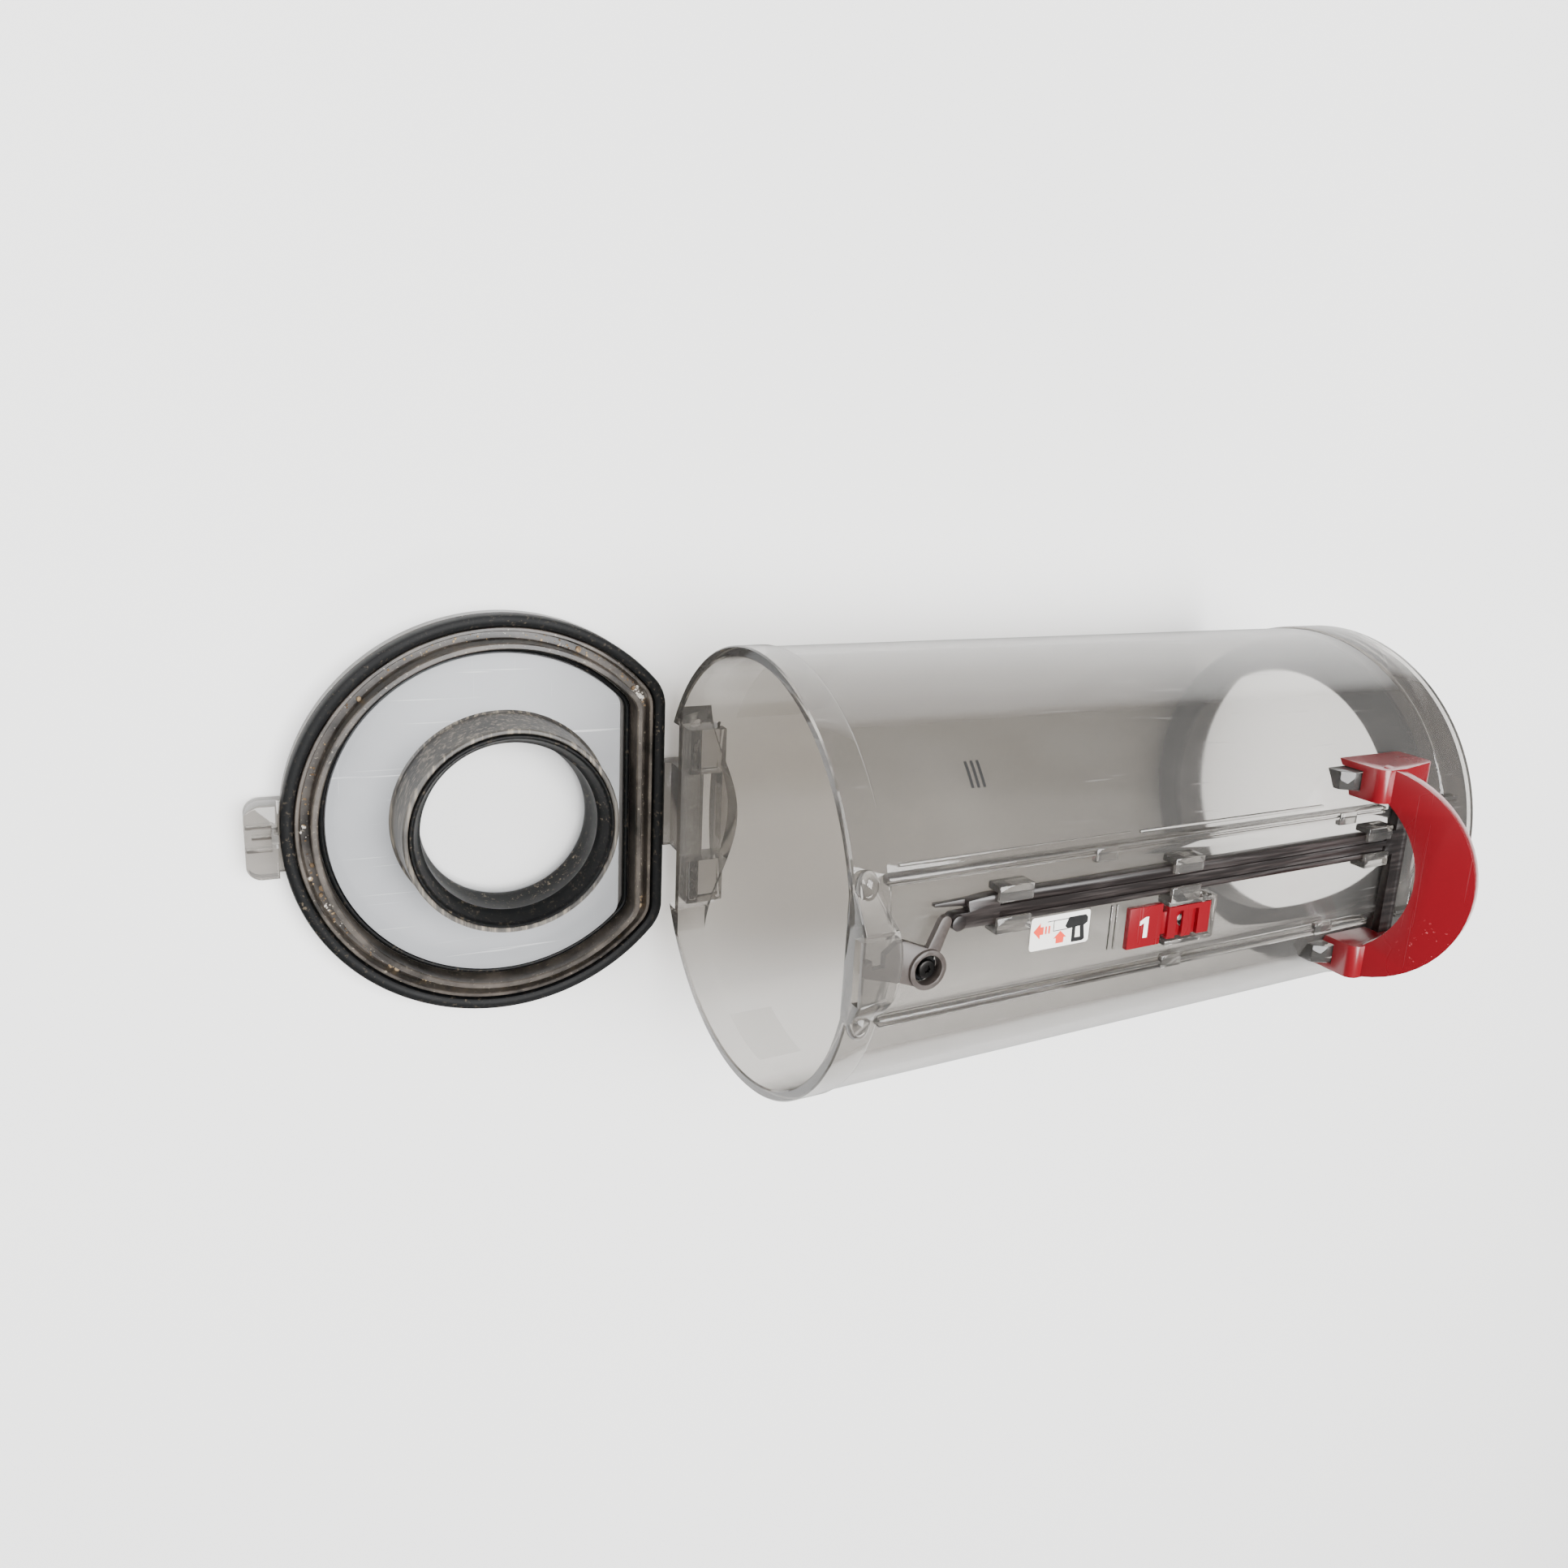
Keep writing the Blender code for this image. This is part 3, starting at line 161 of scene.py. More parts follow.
class DustBinColours(bpy.types.PropertyGroup):
    clear_tint: colour_property("Clear tint", "#CFCDCA", "What one clear wall lets through")
    smoke_tint: colour_property("Smoke tint", "#2A2527", "Smoked plastic of the collar")
    lever_red: colour_property("Lever red", "#72000F", "Glossy red of the lever and the button")
    rubber_black: colour_property("Rubber black", "#050607", "Seals and gaskets")
    rod_black: colour_property("Rod black", "#171312", "Push rod")
    catch_grey: colour_property("Catch grey", "#2E2927", "Two-armed catch")
    steel: colour_property("Steel", "#B8B6B2", "Springs and pins")
    screw_black: colour_property("Screw black", "#2B2A29", "Blackened screws")
    dust: colour_property("Dust", "#8A7C69", "Fine dust in the corners")
    grain: colour_property("Grain", "#B29A78", "Coarser grains in the channel")
    film_white: colour_property("Film white", "#F1EFEA", "Instruction label and numeral")
    floor: colour_property("Studio floor", "#F8F8F7", "Floor that the object stands on")


class DustBinSizes(bpy.types.PropertyGroup):
    sides: IntProperty(name="Sides", default=192, min=48, max=512,
                       description="Sides of the large round pieces")
    edge: FloatProperty(name="Edge rounding", default=0.35 * MM, min=0.0, max=1 * MM,
                        unit="LENGTH", description="Rounding of moulded edges")
    grains: IntProperty(name="Grains", default=420, min=0, max=2000,
                        description="Grains of dust in the flap's channel")
    rod_groove: FloatProperty(name="Rod groove", default=0.7 * MM, min=0.0, max=1 * MM,
                              unit="LENGTH", description="Half width and depth of the rod's grooves")
    lens: FloatProperty(name="Lens", default=27.84, min=10.0, max=200.0, unit="CAMERA",
                        description="Focal length of the camera")


# ---- shaping tools --------------------------------------------------------------------------
def part_from(bm, name="shape"):
    bmesh.ops.recalc_face_normals(bm, faces=bm.faces)
    mesh = bpy.data.meshes.new(name)
    bm.to_mesh(mesh)
    bm.free()
    obj = bpy.data.objects.new(name, mesh)
    bpy.context.scene.collection.objects.link(obj)
    return obj


def round_edges(bm, edges, width, segments=3):
    """Round some edges of a mesh that is still being shaped."""
    if width > 0:
        bmesh.ops.bevel(bm, geom=edges, offset=width, offset_type="OFFSET", segments=segments,
                        profile=0.5, affect="EDGES", clamp_overlap=True, material=-1)


def block(low, high, rounding=0.0, segments=2):
    """A box between two corners with all its edges rounded."""
    size = [b - a for a, b in zip(low, high)]
    centre = [(a + b) / 2 for a, b in zip(low, high)]
    bm = bmesh.new()
    bmesh.ops.create_cube(bm, size=1.0, matrix=Matrix.Translation(centre) @ Matrix.Diagonal((*size, 1.0)))
    round_edges(bm, bm.edges[:], min(rounding, min(size) * 0.45), segments)
    return part_from(bm)


AXIS_TURN = {"X": Matrix.Rotation(math.pi / 2, 4, "Y"), "Y": Matrix.Rotation(-math.pi / 2, 4, "X"),
             "Z": Matrix.Identity(4)}


def drum(start, radius, length, axis="Z", sides=48, rounding=0.0, end_radius=None):
    """A cylinder or cone from its start along an axis, with rounded rims."""
    bm = bmesh.new()
    place = Matrix.Translation(start) @ AXIS_TURN[axis] @ Matrix.Translation((0, 0, length / 2))
    bmesh.ops.create_cone(bm, cap_ends=True, segments=sides, radius1=radius,
                          radius2=radius if end_radius is None else end_radius, depth=length, matrix=place)
    rims = [e for e in bm.edges if any(len(f.verts) > 4 for f in e.link_faces)]
    round_edges(bm, rims, rounding)
    return part_from(bm)


def turned(profile, sides, axis="X", origin=(0, 0, 0)):
    """Spin a closed section of (along, radius) points about an axis."""
    spot = {"X": lambda a, r: (a, 0, r), "Z": lambda a, r: (r, 0, a)}[axis]
    direction = {"X": (1, 0, 0), "Z": (0, 0, 1)}[axis]
    bm = bmesh.new()
    verts = [bm.verts.new(Vector(spot(a, r)) + Vector(origin)) for a, r in profile]
    edges = [bm.edges.new(pair) for pair in zip(verts, verts[1:] + verts[:1])]
    bmesh.ops.spin(bm, geom=verts + edges, cent=origin, axis=direction, angle=math.tau,
                   steps=sides, use_merge=True)
    bmesh.ops.remove_doubles(bm, verts=bm.verts, dist=1e-7)
    return part_from(bm)


def slab(outline, low, high, plane="XY", rounding=0.0, segments=2):
    """Extrude an outline and round the edges of its two faces."""
    spot = {"XY": lambda a, b, c: (a, b, c), "XZ": lambda a, b, c: (a, c, b),
            "YZ": lambda a, b, c: (c, a, b)}[plane]
    bm = bmesh.new()
    face = bm.faces.new([bm.verts.new(spot(a, b, low)) for a, b in outline])
    grown = bmesh.ops.extrude_face_region(bm, geom=[face])["geom"]
    bmesh.ops.translate(bm, verts=[v for v in grown if isinstance(v, bmesh.types.BMVert)],
                        vec=Vector(spot(0, 0, high - low)))
    if rounding > 0:
        lids = [f for f in bm.faces if len(f.verts) == len(outline) and len(outline) > 4] or bm.faces[:]
        edges = {e for f in lids for e in f.edges}
        round_edges(bm, list(edges), rounding, segments)
    return part_from(bm)


def arc(centre, radius, start, end, steps):
    turns = [math.radians(start + (end - start) * i / steps) for i in range(steps + 1)]
    return [(centre[0] + radius * math.cos(t), centre[1] + radius * math.sin(t)) for t in turns]


def combine(base, tools, operation):
    for tool in tools:
        step = base.modifiers.new("combine", "BOOLEAN")
        step.operation = operation
        step.solver = "EXACT"
        step.object = tool
        graph = bpy.context.evaluated_depsgraph_get()
        mesh = bpy.data.meshes.new_from_object(base.evaluated_get(graph))
        base.modifiers.clear()
        base.data = mesh
        bpy.data.objects.remove(tool)
    return base


def add_to(base, *tools):
    return combine(base, tools, "UNION")


def cut_from(base, *tools):
    return combine(base, tools, "DIFFERENCE")


def keep_within(base, tool):
    return combine(base, [tool], "INTERSECT")


def merge_meshes(objects):
    """Several separate shapes as one mesh, without joining their solids."""
    bm = bmesh.new()
    for obj in objects:
        bm.from_mesh(obj.data)
        bpy.data.objects.remove(obj)
    return part_from(bm)


def coil(centre, radius, wire, turns, pitch, start=0.0):
    """A round wire wound about Z, made by spinning its section along a rising turn."""
    bm = bmesh.new()
    steps = int(24 * turns)
    section = Matrix.Translation(Vector(centre) + Vector((radius, 0, 0))) @ Matrix.Rotation(math.pi / 2, 4, "X")
    ring = bmesh.ops.create_circle(bm, cap_ends=False, segments=10, radius=wire, matrix=section)["verts"]
    edges = list({e for v in ring for e in v.link_edges})
    bmesh.ops.rotate(bm, verts=ring, cent=centre, matrix=Matrix.Rotation(math.radians(start), 3, "Z"))
    bmesh.ops.spin(bm, geom=ring + edges, cent=centre, axis=(0, 0, 1), angle=math.tau * turns,
                   steps=steps, dvec=(0, 0, pitch * turns / steps))
    bmesh.ops.holes_fill(bm, edges=[e for e in bm.edges if e.is_boundary], sides=10)
    return part_from(bm)


def finish_piece(obj, name, place, body, finish, nodes=(), smooth=32.0):
    """Name a shape, put it in the frame, and give it its finish, its body and what it stands for."""
    obj.name = name
    obj.data.name = name
    obj.data.transform(place)
    obj.data.materials.clear()
    obj.data.materials.append(finish)
    obj.data.shade_smooth()
    obj.data.set_sharp_from_angle(angle=math.radians(smooth))
    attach(obj, body)
    if nodes:
        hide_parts(*nodes)
    return obj


def refined_copy(node, rounding, segments=2, dissolve=0.5):
    """A merged copy of a CAD node's mesh with its hard edges rounded."""
    bm = bmesh.new()
    bm.from_mesh(frame["nodes"][node].data)
    bmesh.ops.remove_doubles(bm, verts=bm.verts, dist=1e-6)
    bmesh.ops.dissolve_limit(bm, angle_limit=math.radians(dissolve), verts=bm.verts, edges=bm.edges)
    obj = part_from(bm)
    bevel = obj.modifiers.new("edge rounding", "BEVEL")
    bevel.width = rounding
    bevel.segments = segments
    bevel.limit_method = "ANGLE"
    bevel.angle_limit = math.radians(34)
    bevel.use_clamp_overlap = True
    bevel.harden_normals = False
    graph = bpy.context.evaluated_depsgraph_get()
    mesh = bpy.data.meshes.new_from_object(obj.evaluated_get(graph))
    obj.modifiers.clear()
    obj.data = mesh
    return obj


def apply_to_cad(node, finish):
    """Give a CAD node whose shape is right a better finish."""
    obj = frame["nodes"][node]
    for slot in obj.material_slots:
        slot.material = finish


# ---- finishes -------------------------------------------------------------------------------
def add_node(tree, kind, settings=None, inputs=None):
    """Add one node with its settings. An input is a plain value or another node's output."""
    node = tree.nodes.new(kind)
    for name, value in (settings or {}).items():
        setattr(node, name, value)
    for name, value in (inputs or {}).items():
        if isinstance(value, bpy.types.NodeSocket):
            tree.links.new(value, node.inputs[name])
        else:
            node.inputs[name].default_value = value
    return node


def new_finish(name, **shader_values):
    """A material with an empty tree, its shader with constant values, and object coordinates."""
    finish = bpy.data.materials.new(name)
    finish.use_nodes = True
    tree = finish.node_tree
    tree.nodes.clear()
    place = add_node(tree, "ShaderNodeTexCoord").outputs["Object"]
    values = {key.replace("_", " "): value for key, value in shader_values.items()}
    shader = add_node(tree, "ShaderNodeBsdfPrincipled", inputs=values)
    add_node(tree, "ShaderNodeOutputMaterial", inputs={"Surface": shader.outputs[0]})
    return finish, tree, shader, place


def fine_scratches(tree, place, along, rotation=(0, 0, 0), start=0.68, end=0.78):
    """Thin straight marks: noise drawn out 40 times longer than it is wide."""
    scale = [900.0, 900.0, 900.0]
    scale[along] = 22.0
    drawn = add_node(tree, "ShaderNodeMapping", inputs={"Vector": place, "Rotation": rotation, "Scale": scale})
    noise = add_node(tree, "ShaderNodeTexNoise", inputs={"Vector": drawn.outputs[0], "Scale": 1.0, "Detail": 2.0,
                                                         "Roughness": 0.6})
    return add_node(tree, "ShaderNodeMapRange", inputs={"Value": noise.outputs[0], "From Min": start,
                                                        "From Max": end}).outputs[0]


def clear_plastic(name, tint, lines_along=0, dust_floor=None, wear=1.0, haze=0.05):
    """Clear ABS from a polished mould: see-through, slightly grey, with hairline scratches, and painted shade: a dark
    grey mixed in where the surface is seen edge-on.
    """
    colours = bpy.context.scene.dust_bin_colours
    finish, tree, shader, place = new_finish(name, IOR=1.50, Roughness=0.05, Transmission_Weight=1.0,
                                             Specular_Tint=(0.8, 0.8, 0.8, 1.0))
    first = fine_scratches(tree, place, lines_along, start=0.69, end=0.78)
    second = fine_scratches(tree, place, lines_along, (0.3, 0.2, 0.6), 0.70, 0.79)
    marks = add_node(tree, "ShaderNodeMath", {"operation": "MAXIMUM"}, {0: first, 1: second}).outputs[0]
    cloud = add_node(tree, "ShaderNodeTexNoise", inputs={"Vector": place, "Scale": 35.0, "Detail": 3.0})
    film = add_node(tree, "ShaderNodeMapRange", inputs={"Value": cloud.outputs[0], "From Min": 0.45,
                                                        "From Max": 0.80, "To Max": 0.035 * wear})
    worn = add_node(tree, "ShaderNodeMath", {"operation": "MULTIPLY_ADD"},
                    {0: marks, 1: 0.16 * wear, 2: film.outputs[0]})
    rough = add_node(tree, "ShaderNodeMath", {"operation": "ADD"}, {0: worn.outputs[0], 1: 0.045})
    clear = add_node(tree, "ShaderNodeMath", {"operation": "MULTIPLY_ADD"},
                     {0: worn.outputs[0], 1: -0.6, 2: 1.0 - haze}).outputs[0]
    body = add_node(tree, "ShaderNodeMix", {"data_type": "RGBA"},
                    {0: worn.outputs[0], 6: tint, 7: hex_colour("#DAD8D2")}).outputs[2]
    if dust_floor is not None:
        low, high = dust_floor
        height = add_node(tree, "ShaderNodeSeparateXYZ", inputs={0: place}).outputs[2]
        level = add_node(tree, "ShaderNodeMapRange", inputs={"Value": height, "From Min": high, "From Max": low})
        specks = add_node(tree, "ShaderNodeTexNoise", inputs={"Vector": place, "Scale": 420.0, "Detail": 5.0,
                                                              "Roughness": 0.7})
        loose = add_node(tree, "ShaderNodeMapRange", inputs={"Value": specks.outputs[0], "From Min": 0.40,
                                                             "From Max": 0.62})
        dusty = add_node(tree, "ShaderNodeMath", {"operation": "MULTIPLY"},
                         {0: level.outputs[0], 1: loose.outputs[0]}).outputs[0]
        body = add_node(tree, "ShaderNodeMix", {"data_type": "RGBA"}, {0: dusty, 6: body, 7: colours.dust}).outputs[2]
        clear = add_node(tree, "ShaderNodeMath", {"operation": "MULTIPLY_ADD"},
                         {0: dusty, 1: -0.75, 2: clear}).outputs[0]
        rough_dust = add_node(tree, "ShaderNodeMath", {"operation": "MULTIPLY_ADD"},
                              {0: dusty, 1: 0.6, 2: rough.outputs[0]})
        rough = rough_dust
    flow = add_node(tree, "ShaderNodeTexNoise", inputs={"Vector": place, "Scale": 28.0, "Detail": 1.0})
    ripple = add_node(tree, "ShaderNodeBump", inputs={"Height": flow.outputs[0], "Strength": 0.02,
                                                      "Distance": 0.6 * MM})
    bump = add_node(tree, "ShaderNodeBump", {"invert": True}, {"Height": marks, "Strength": 0.08,
                    "Distance": 0.03 * MM, "Normal": ripple.outputs[0]})
    for socket, value in (("Base Color", body), ("Roughness", rough.outputs[0]), ("Transmission Weight", clear),
                          ("Normal", bump.outputs[0])):
        tree.links.new(value, shader.inputs[socket])
    lamps = add_node(tree, "ShaderNodeBsdfTransparent", inputs={"Color": tint})
    path = add_node(tree, "ShaderNodeLightPath")
    seen = add_node(tree, "ShaderNodeMixShader", inputs={0: path.outputs["Is Shadow Ray"], 1: shader.outputs[0],
                                                         2: lamps.outputs[0]})
    depth = add_node(tree, "ShaderNodeVolumeAbsorption", inputs={"Color": hex_colour("#9C958C"), "Density": 110.0})
    # Painted shade: a dark grey diffuse is mixed in where the surface is seen edge-on, to darken the plastic's edges.
    facing = add_node(tree, "ShaderNodeLayerWeight", inputs={"Blend": 0.3}).outputs["Facing"]
    painted_edge_shade = add_node(tree, "ShaderNodeMapRange", inputs={"Value": facing, "From Min": 0.45, "From Max": 0.95,
                                                           "To Max": 0.8}).outputs[0]
    edge = add_node(tree, "ShaderNodeBsdfDiffuse", inputs={"Color": hex_colour("#3F3C38")})
    seen = add_node(tree, "ShaderNodeMixShader", inputs={0: painted_edge_shade, 1: seen.outputs[0], 2: edge.outputs[0]})
    out = next(n for n in tree.nodes if n.type == "OUTPUT_MATERIAL")
    tree.links.new(seen.outputs[0], out.inputs["Surface"])
    tree.links.new(depth.outputs[0], out.inputs["Volume"])
    return finish


def floor_sheet():
    """Thin floor of the flap: milky with fine scratches, and wiped clear inside the cup."""
    finish, tree, shader, place = new_finish("scratched_clear_sheet", IOR=1.45)
    centre = FLAP @ Vector((FLOOR_TOP, 0.0, 0.0))
    away = add_node(tree, "ShaderNodeVectorMath", {"operation": "DISTANCE"}, {0: place, 1: centre}).outputs["Value"]
    outside = add_node(tree, "ShaderNodeMapRange", inputs={"Value": away, "From Min": CUP_BORE - 5 * MM,
                                                           "From Max": CUP_BORE - 3 * MM}).outputs[0]
    first = fine_scratches(tree, place, 1, (0.1, 0.2, 1.25), 0.68, 0.80)
    second = fine_scratches(tree, place, 0, (0.2, 0.1, 0.55), 0.67, 0.79)
    marks = add_node(tree, "ShaderNodeMath", {"operation": "MAXIMUM"}, {0: first, 1: second}).outputs[0]
    cloud = add_node(tree, "ShaderNodeTexNoise", inputs={"Vector": place, "Scale": 40.0, "Detail": 3.0})
    tone = add_node(tree, "ShaderNodeMix", {"data_type": "RGBA"},
                    {0: cloud.outputs[0], 6: hex_colour("#9FA1A4"), 7: hex_colour("#B4B6B9")}).outputs[2]
    tone = add_node(tree, "ShaderNodeMix", {"data_type": "RGBA"}, {0: marks, 6: tone, 7: hex_colour("#CDCECF")})
    milky = add_node(tree, "ShaderNodeMath", {"operation": "MULTIPLY_ADD"}, {0: marks, 1: 0.25, 2: 0.62}).outputs[0]
    solid = add_node(tree, "ShaderNodeMath", {"operation": "MULTIPLY_ADD"}, {0: outside, 1: milky, 2: 0.04})
    rough = add_node(tree, "ShaderNodeMapRange", inputs={"Value": cloud.outputs[0], "To Min": 0.25, "To Max": 0.45})
    for socket, value in (("Base Color", tone.outputs[2]), ("Roughness", rough.outputs[0]), ("Alpha", solid.outputs[0])):
        tree.links.new(value, shader.inputs[socket])
    return finish


def dusty_frame(name, clean, dirty, see_through, rings=False):
    """Clear moulding caked with fine dust: mostly opaque, darker and lighter in soft patches."""
    finish, tree, shader, place = new_finish(name, IOR=1.48, Transmission_Weight=see_through)
    patches = add_node(tree, "ShaderNodeTexNoise", inputs={"Vector": place, "Scale": 70.0, "Detail": 5.0,
                                                           "Roughness": 0.65})
    cover = add_node(tree, "ShaderNodeMapRange", inputs={"Value": patches.outputs[0], "From Min": 0.38,
                                                         "From Max": 0.62}).outputs[0]
    tone = add_node(tree, "ShaderNodeMix", {"data_type": "RGBA"},
                    {0: cover, 6: hex_colour(clean), 7: hex_colour(dirty)}).outputs[2]
    specks = add_node(tree, "ShaderNodeTexNoise", inputs={"Vector": place, "Scale": 1100.0, "Detail": 3.0})
    grit = add_node(tree, "ShaderNodeMapRange", inputs={"Value": specks.outputs[0], "From Min": 0.65,
                                                        "From Max": 0.72}).outputs[0]
    if rings:
        grit = fine_scratches(tree, place, 1, (0.0, 0.0, 0.0), 0.50, 0.74)
    # By height: below 3.4 mm the tone is a paler grey and clearer, with no grit; the dusty tone and grit are only above
    # 4.6 mm.
    height = add_node(tree, "ShaderNodeSeparateXYZ", inputs={0: place}).outputs[2]
    above_low_band = add_node(tree, "ShaderNodeMapRange", inputs={"Value": height, "From Min": 3.4 * MM,
                                                           "From Max": 4.6 * MM}).outputs[0]
    grit = add_node(tree, "ShaderNodeMath", {"operation": "MULTIPLY"}, {0: grit, 1: above_low_band}).outputs[0]
    tone = add_node(tree, "ShaderNodeMix", {"data_type": "RGBA"},
                    {0: above_low_band, 6: hex_colour("#8B8884"), 7: tone}).outputs[2]
    clear = add_node(tree, "ShaderNodeMapRange", inputs={"Value": above_low_band, "To Min": 0.8, "To Max": see_through})
    tree.links.new(clear.outputs[0], shader.inputs["Transmission Weight"])
    tone = add_node(tree, "ShaderNodeMix", {"data_type": "RGBA"}, {0: grit, 6: tone, 7: hex_colour("#8F8678")})
    rough = add_node(tree, "ShaderNodeMapRange", inputs={"Value": patches.outputs[0], "To Min": 0.18, "To Max": 0.5})
    bump = add_node(tree, "ShaderNodeBump", inputs={"Height": specks.outputs[0], "Strength": 0.12,
                                                    "Distance": 0.05 * MM})
    for socket, value in (("Base Color", tone.outputs[2]), ("Roughness", rough.outputs[0]), ("Normal", bump.outputs[0])):
        tree.links.new(value, shader.inputs[socket])
    return finish


def smoked_plastic():
    """Smoked polycarbonate: dark, with light coming through its thin windows."""
    colours = bpy.context.scene.dust_bin_colours
    finish, tree, shader, place = new_finish("smoked_polycarbonate", IOR=1.58, Transmission_Weight=0.75)
    cloud = add_node(tree, "ShaderNodeTexNoise", inputs={"Vector": place, "Scale": 60.0, "Detail": 4.0})
    tone = add_node(tree, "ShaderNodeMix", {"data_type": "RGBA"},
                    {0: cloud.outputs[0], 6: colours.smoke_tint, 7: hex_colour("#5A5148")})
    rough = add_node(tree, "ShaderNodeMapRange", inputs={"Value": cloud.outputs[0], "To Min": 0.12, "To Max": 0.32})
    tree.links.new(tone.outputs[2], shader.inputs["Base Color"])
    tree.links.new(rough.outputs[0], shader.inputs["Roughness"])
    return finish


def seal_rubber(name="black_seal_rubber", dusty=0.5):
    """Moulded silicone rubber: satin black, with a bloom of fine pale dust that sticks to it."""
    colours = bpy.context.scene.dust_bin_colours
    finish, tree, shader, place = new_finish(name, IOR=1.40, Specular_IOR_Level=0.22)
    specks = add_node(tree, "ShaderNodeTexNoise", inputs={"Vector": place, "Scale": 700.0, "Detail": 6.0,
                                                          "Roughness": 0.75})
    patches = add_node(tree, "ShaderNodeTexNoise", inputs={"Vector": place, "Scale": 55.0, "Detail": 3.0})
    fine = add_node(tree, "ShaderNodeMapRange", inputs={"Value": specks.outputs[0], "From Min": 0.56, "From Max": 0.68})
    wide = add_node(tree, "ShaderNodeMapRange", inputs={"Value": patches.outputs[0], "From Min": 0.45,
                                                        "From Max": 0.72, "To Min": 0.12 * dusty, "To Max": dusty})
    cover = add_node(tree, "ShaderNodeMath", {"operation": "MULTIPLY"}, {0: fine.outputs[0], 1: wide.outputs[0]})
    tone = add_node(tree, "ShaderNodeMix", {"data_type": "RGBA"},
                    {0: cover.outputs[0], 6: colours.rubber_black, 7: colours.dust})
    rough = add_node(tree, "ShaderNodeMapRange", inputs={"Value": patches.outputs[0], "To Min": 0.42, "To Max": 0.66})
    grain = add_node(tree, "ShaderNodeTexNoise", inputs={"Vector": place, "Scale": 2600.0, "Detail": 2.0})
    bump = add_node(tree, "ShaderNodeBump", inputs={"Height": grain.outputs[0], "Strength": 0.18,
                                                    "Distance": 0.05 * MM})
    for socket, value in (("Base Color", tone.outputs[2]), ("Roughness", rough.outputs[0]), ("Normal", bump.outputs[0])):
        tree.links.new(value, shader.inputs[socket])
    return finish


def glossy_red(name="glossy_red_abs", scuffed=True):
    """ABS painted in a bright gloss red, with rubbed patches and hairlines where a hand pulls it."""
    colours = bpy.context.scene.dust_bin_colours
    finish, tree, shader, place = new_finish(name, IOR=1.53, Coat_Weight=0.35, Coat_Roughness=0.08)
    cloud = add_node(tree, "ShaderNodeTexNoise", inputs={"Vector": place, "Scale": 30.0, "Detail": 2.0})
    tone = add_node(tree, "ShaderNodeMix", {"data_type": "RGBA"},
                    {0: cloud.outputs[0], 6: colours.lever_red, 7: hex_colour("#6C000E")}).outputs[2]
    rough = add_node(tree, "ShaderNodeMapRange", inputs={"Value": cloud.outputs[0], "To Min": 0.20,
                                                         "To Max": 0.34}).outputs[0]
    marks = fine_scratches(tree, place, 1, (0.4, 0.0, 0.3), 0.66, 0.72)
    if scuffed:
        patch = BIN @ Vector((172 * MM, -17 * MM, 79 * MM))
        away = add_node(tree, "ShaderNodeVectorMath", {"operation": "DISTANCE"}, {0: place, 1: patch}).outputs["Value"]
        near = add_node(tree, "ShaderNodeMapRange", inputs={"Value": away, "From Min": 9 * MM, "From Max": 3 * MM})
        flecks = add_node(tree, "ShaderNodeTexNoise", inputs={"Vector": place, "Scale": 900.0, "Detail": 4.0})
        chips = add_node(tree, "ShaderNodeMapRange", inputs={"Value": flecks.outputs[0], "From Min": 0.66,
                                                             "From Max": 0.70})
        rubbed = add_node(tree, "ShaderNodeMath", {"operation": "MULTIPLY"},
                          {0: near.outputs[0], 1: chips.outputs[0]}).outputs[0]
        tone = add_node(tree, "ShaderNodeMix", {"data_type": "RGBA"},
                        {0: rubbed, 6: tone, 7: hex_colour("#B8545A")}).outputs[2]
    worn = add_node(tree, "ShaderNodeMath", {"operation": "MULTIPLY_ADD"}, {0: marks, 1: 0.25, 2: rough})
    bump = add_node(tree, "ShaderNodeBump", {"invert": True}, {"Height": marks, "Strength": 0.15,
                                                               "Distance": 0.03 * MM})
    for socket, value in (("Base Color", tone), ("Roughness", worn.outputs[0]), ("Normal", bump.outputs[0])):
        tree.links.new(value, shader.inputs[socket])
    return finish


def rod_nylon():
    """Black nylon rod: drawn out lengthwise, with warm paler, rougher streaks."""
    colours = bpy.context.scene.dust_bin_colours
    finish, tree, shader, place = new_finish("black_nylon", IOR=1.53)
    streaks = fine_scratches(tree, place, 0, start=0.45, end=0.75)
    tone = add_node(tree, "ShaderNodeMix", {"data_type": "RGBA"},
                    {0: streaks, 6: colours.rod_black, 7: hex_colour("#2E2725")})
    rough = add_node(tree, "ShaderNodeMapRange", inputs={"Value": streaks, "To Min": 0.28, "To Max": 0.5})
    bump = add_node(tree, "ShaderNodeBump", inputs={"Height": streaks, "Strength": 0.2, "Distance": 0.05 * MM})
    for socket, value in (("Base Color", tone.outputs[2]), ("Roughness", rough.outputs[0]), ("Normal", bump.outputs[0])):
        tree.links.new(value, shader.inputs[socket])
    return finish


def catch_acetal():
    """Grey glass-filled acetal: satin, with a fine mottled grain from the fibres."""
    colours = bpy.context.scene.dust_bin_colours
    finish, tree, shader, place = new_finish("grey_filled_acetal", IOR=1.48)
    grain = add_node(tree, "ShaderNodeTexNoise", inputs={"Vector": place, "Scale": 900.0, "Detail": 4.0})
    tone = add_node(tree, "ShaderNodeMix", {"data_type": "RGBA"},
                    {0: grain.outputs[0], 6: colours.catch_grey, 7: hex_colour("#49423E")})
    rough = add_node(tree, "ShaderNodeMapRange", inputs={"Value": grain.outputs[0], "To Min": 0.25, "To Max": 0.5})
    bump = add_node(tree, "ShaderNodeBump", inputs={"Height": grain.outputs[0], "Strength": 0.15,
                                                    "Distance": 0.05 * MM})
    for socket, value in (("Base Color", tone.outputs[2]), ("Roughness", rough.outputs[0]), ("Normal", bump.outputs[0])):
        tree.links.new(value, shader.inputs[socket])
    return finish


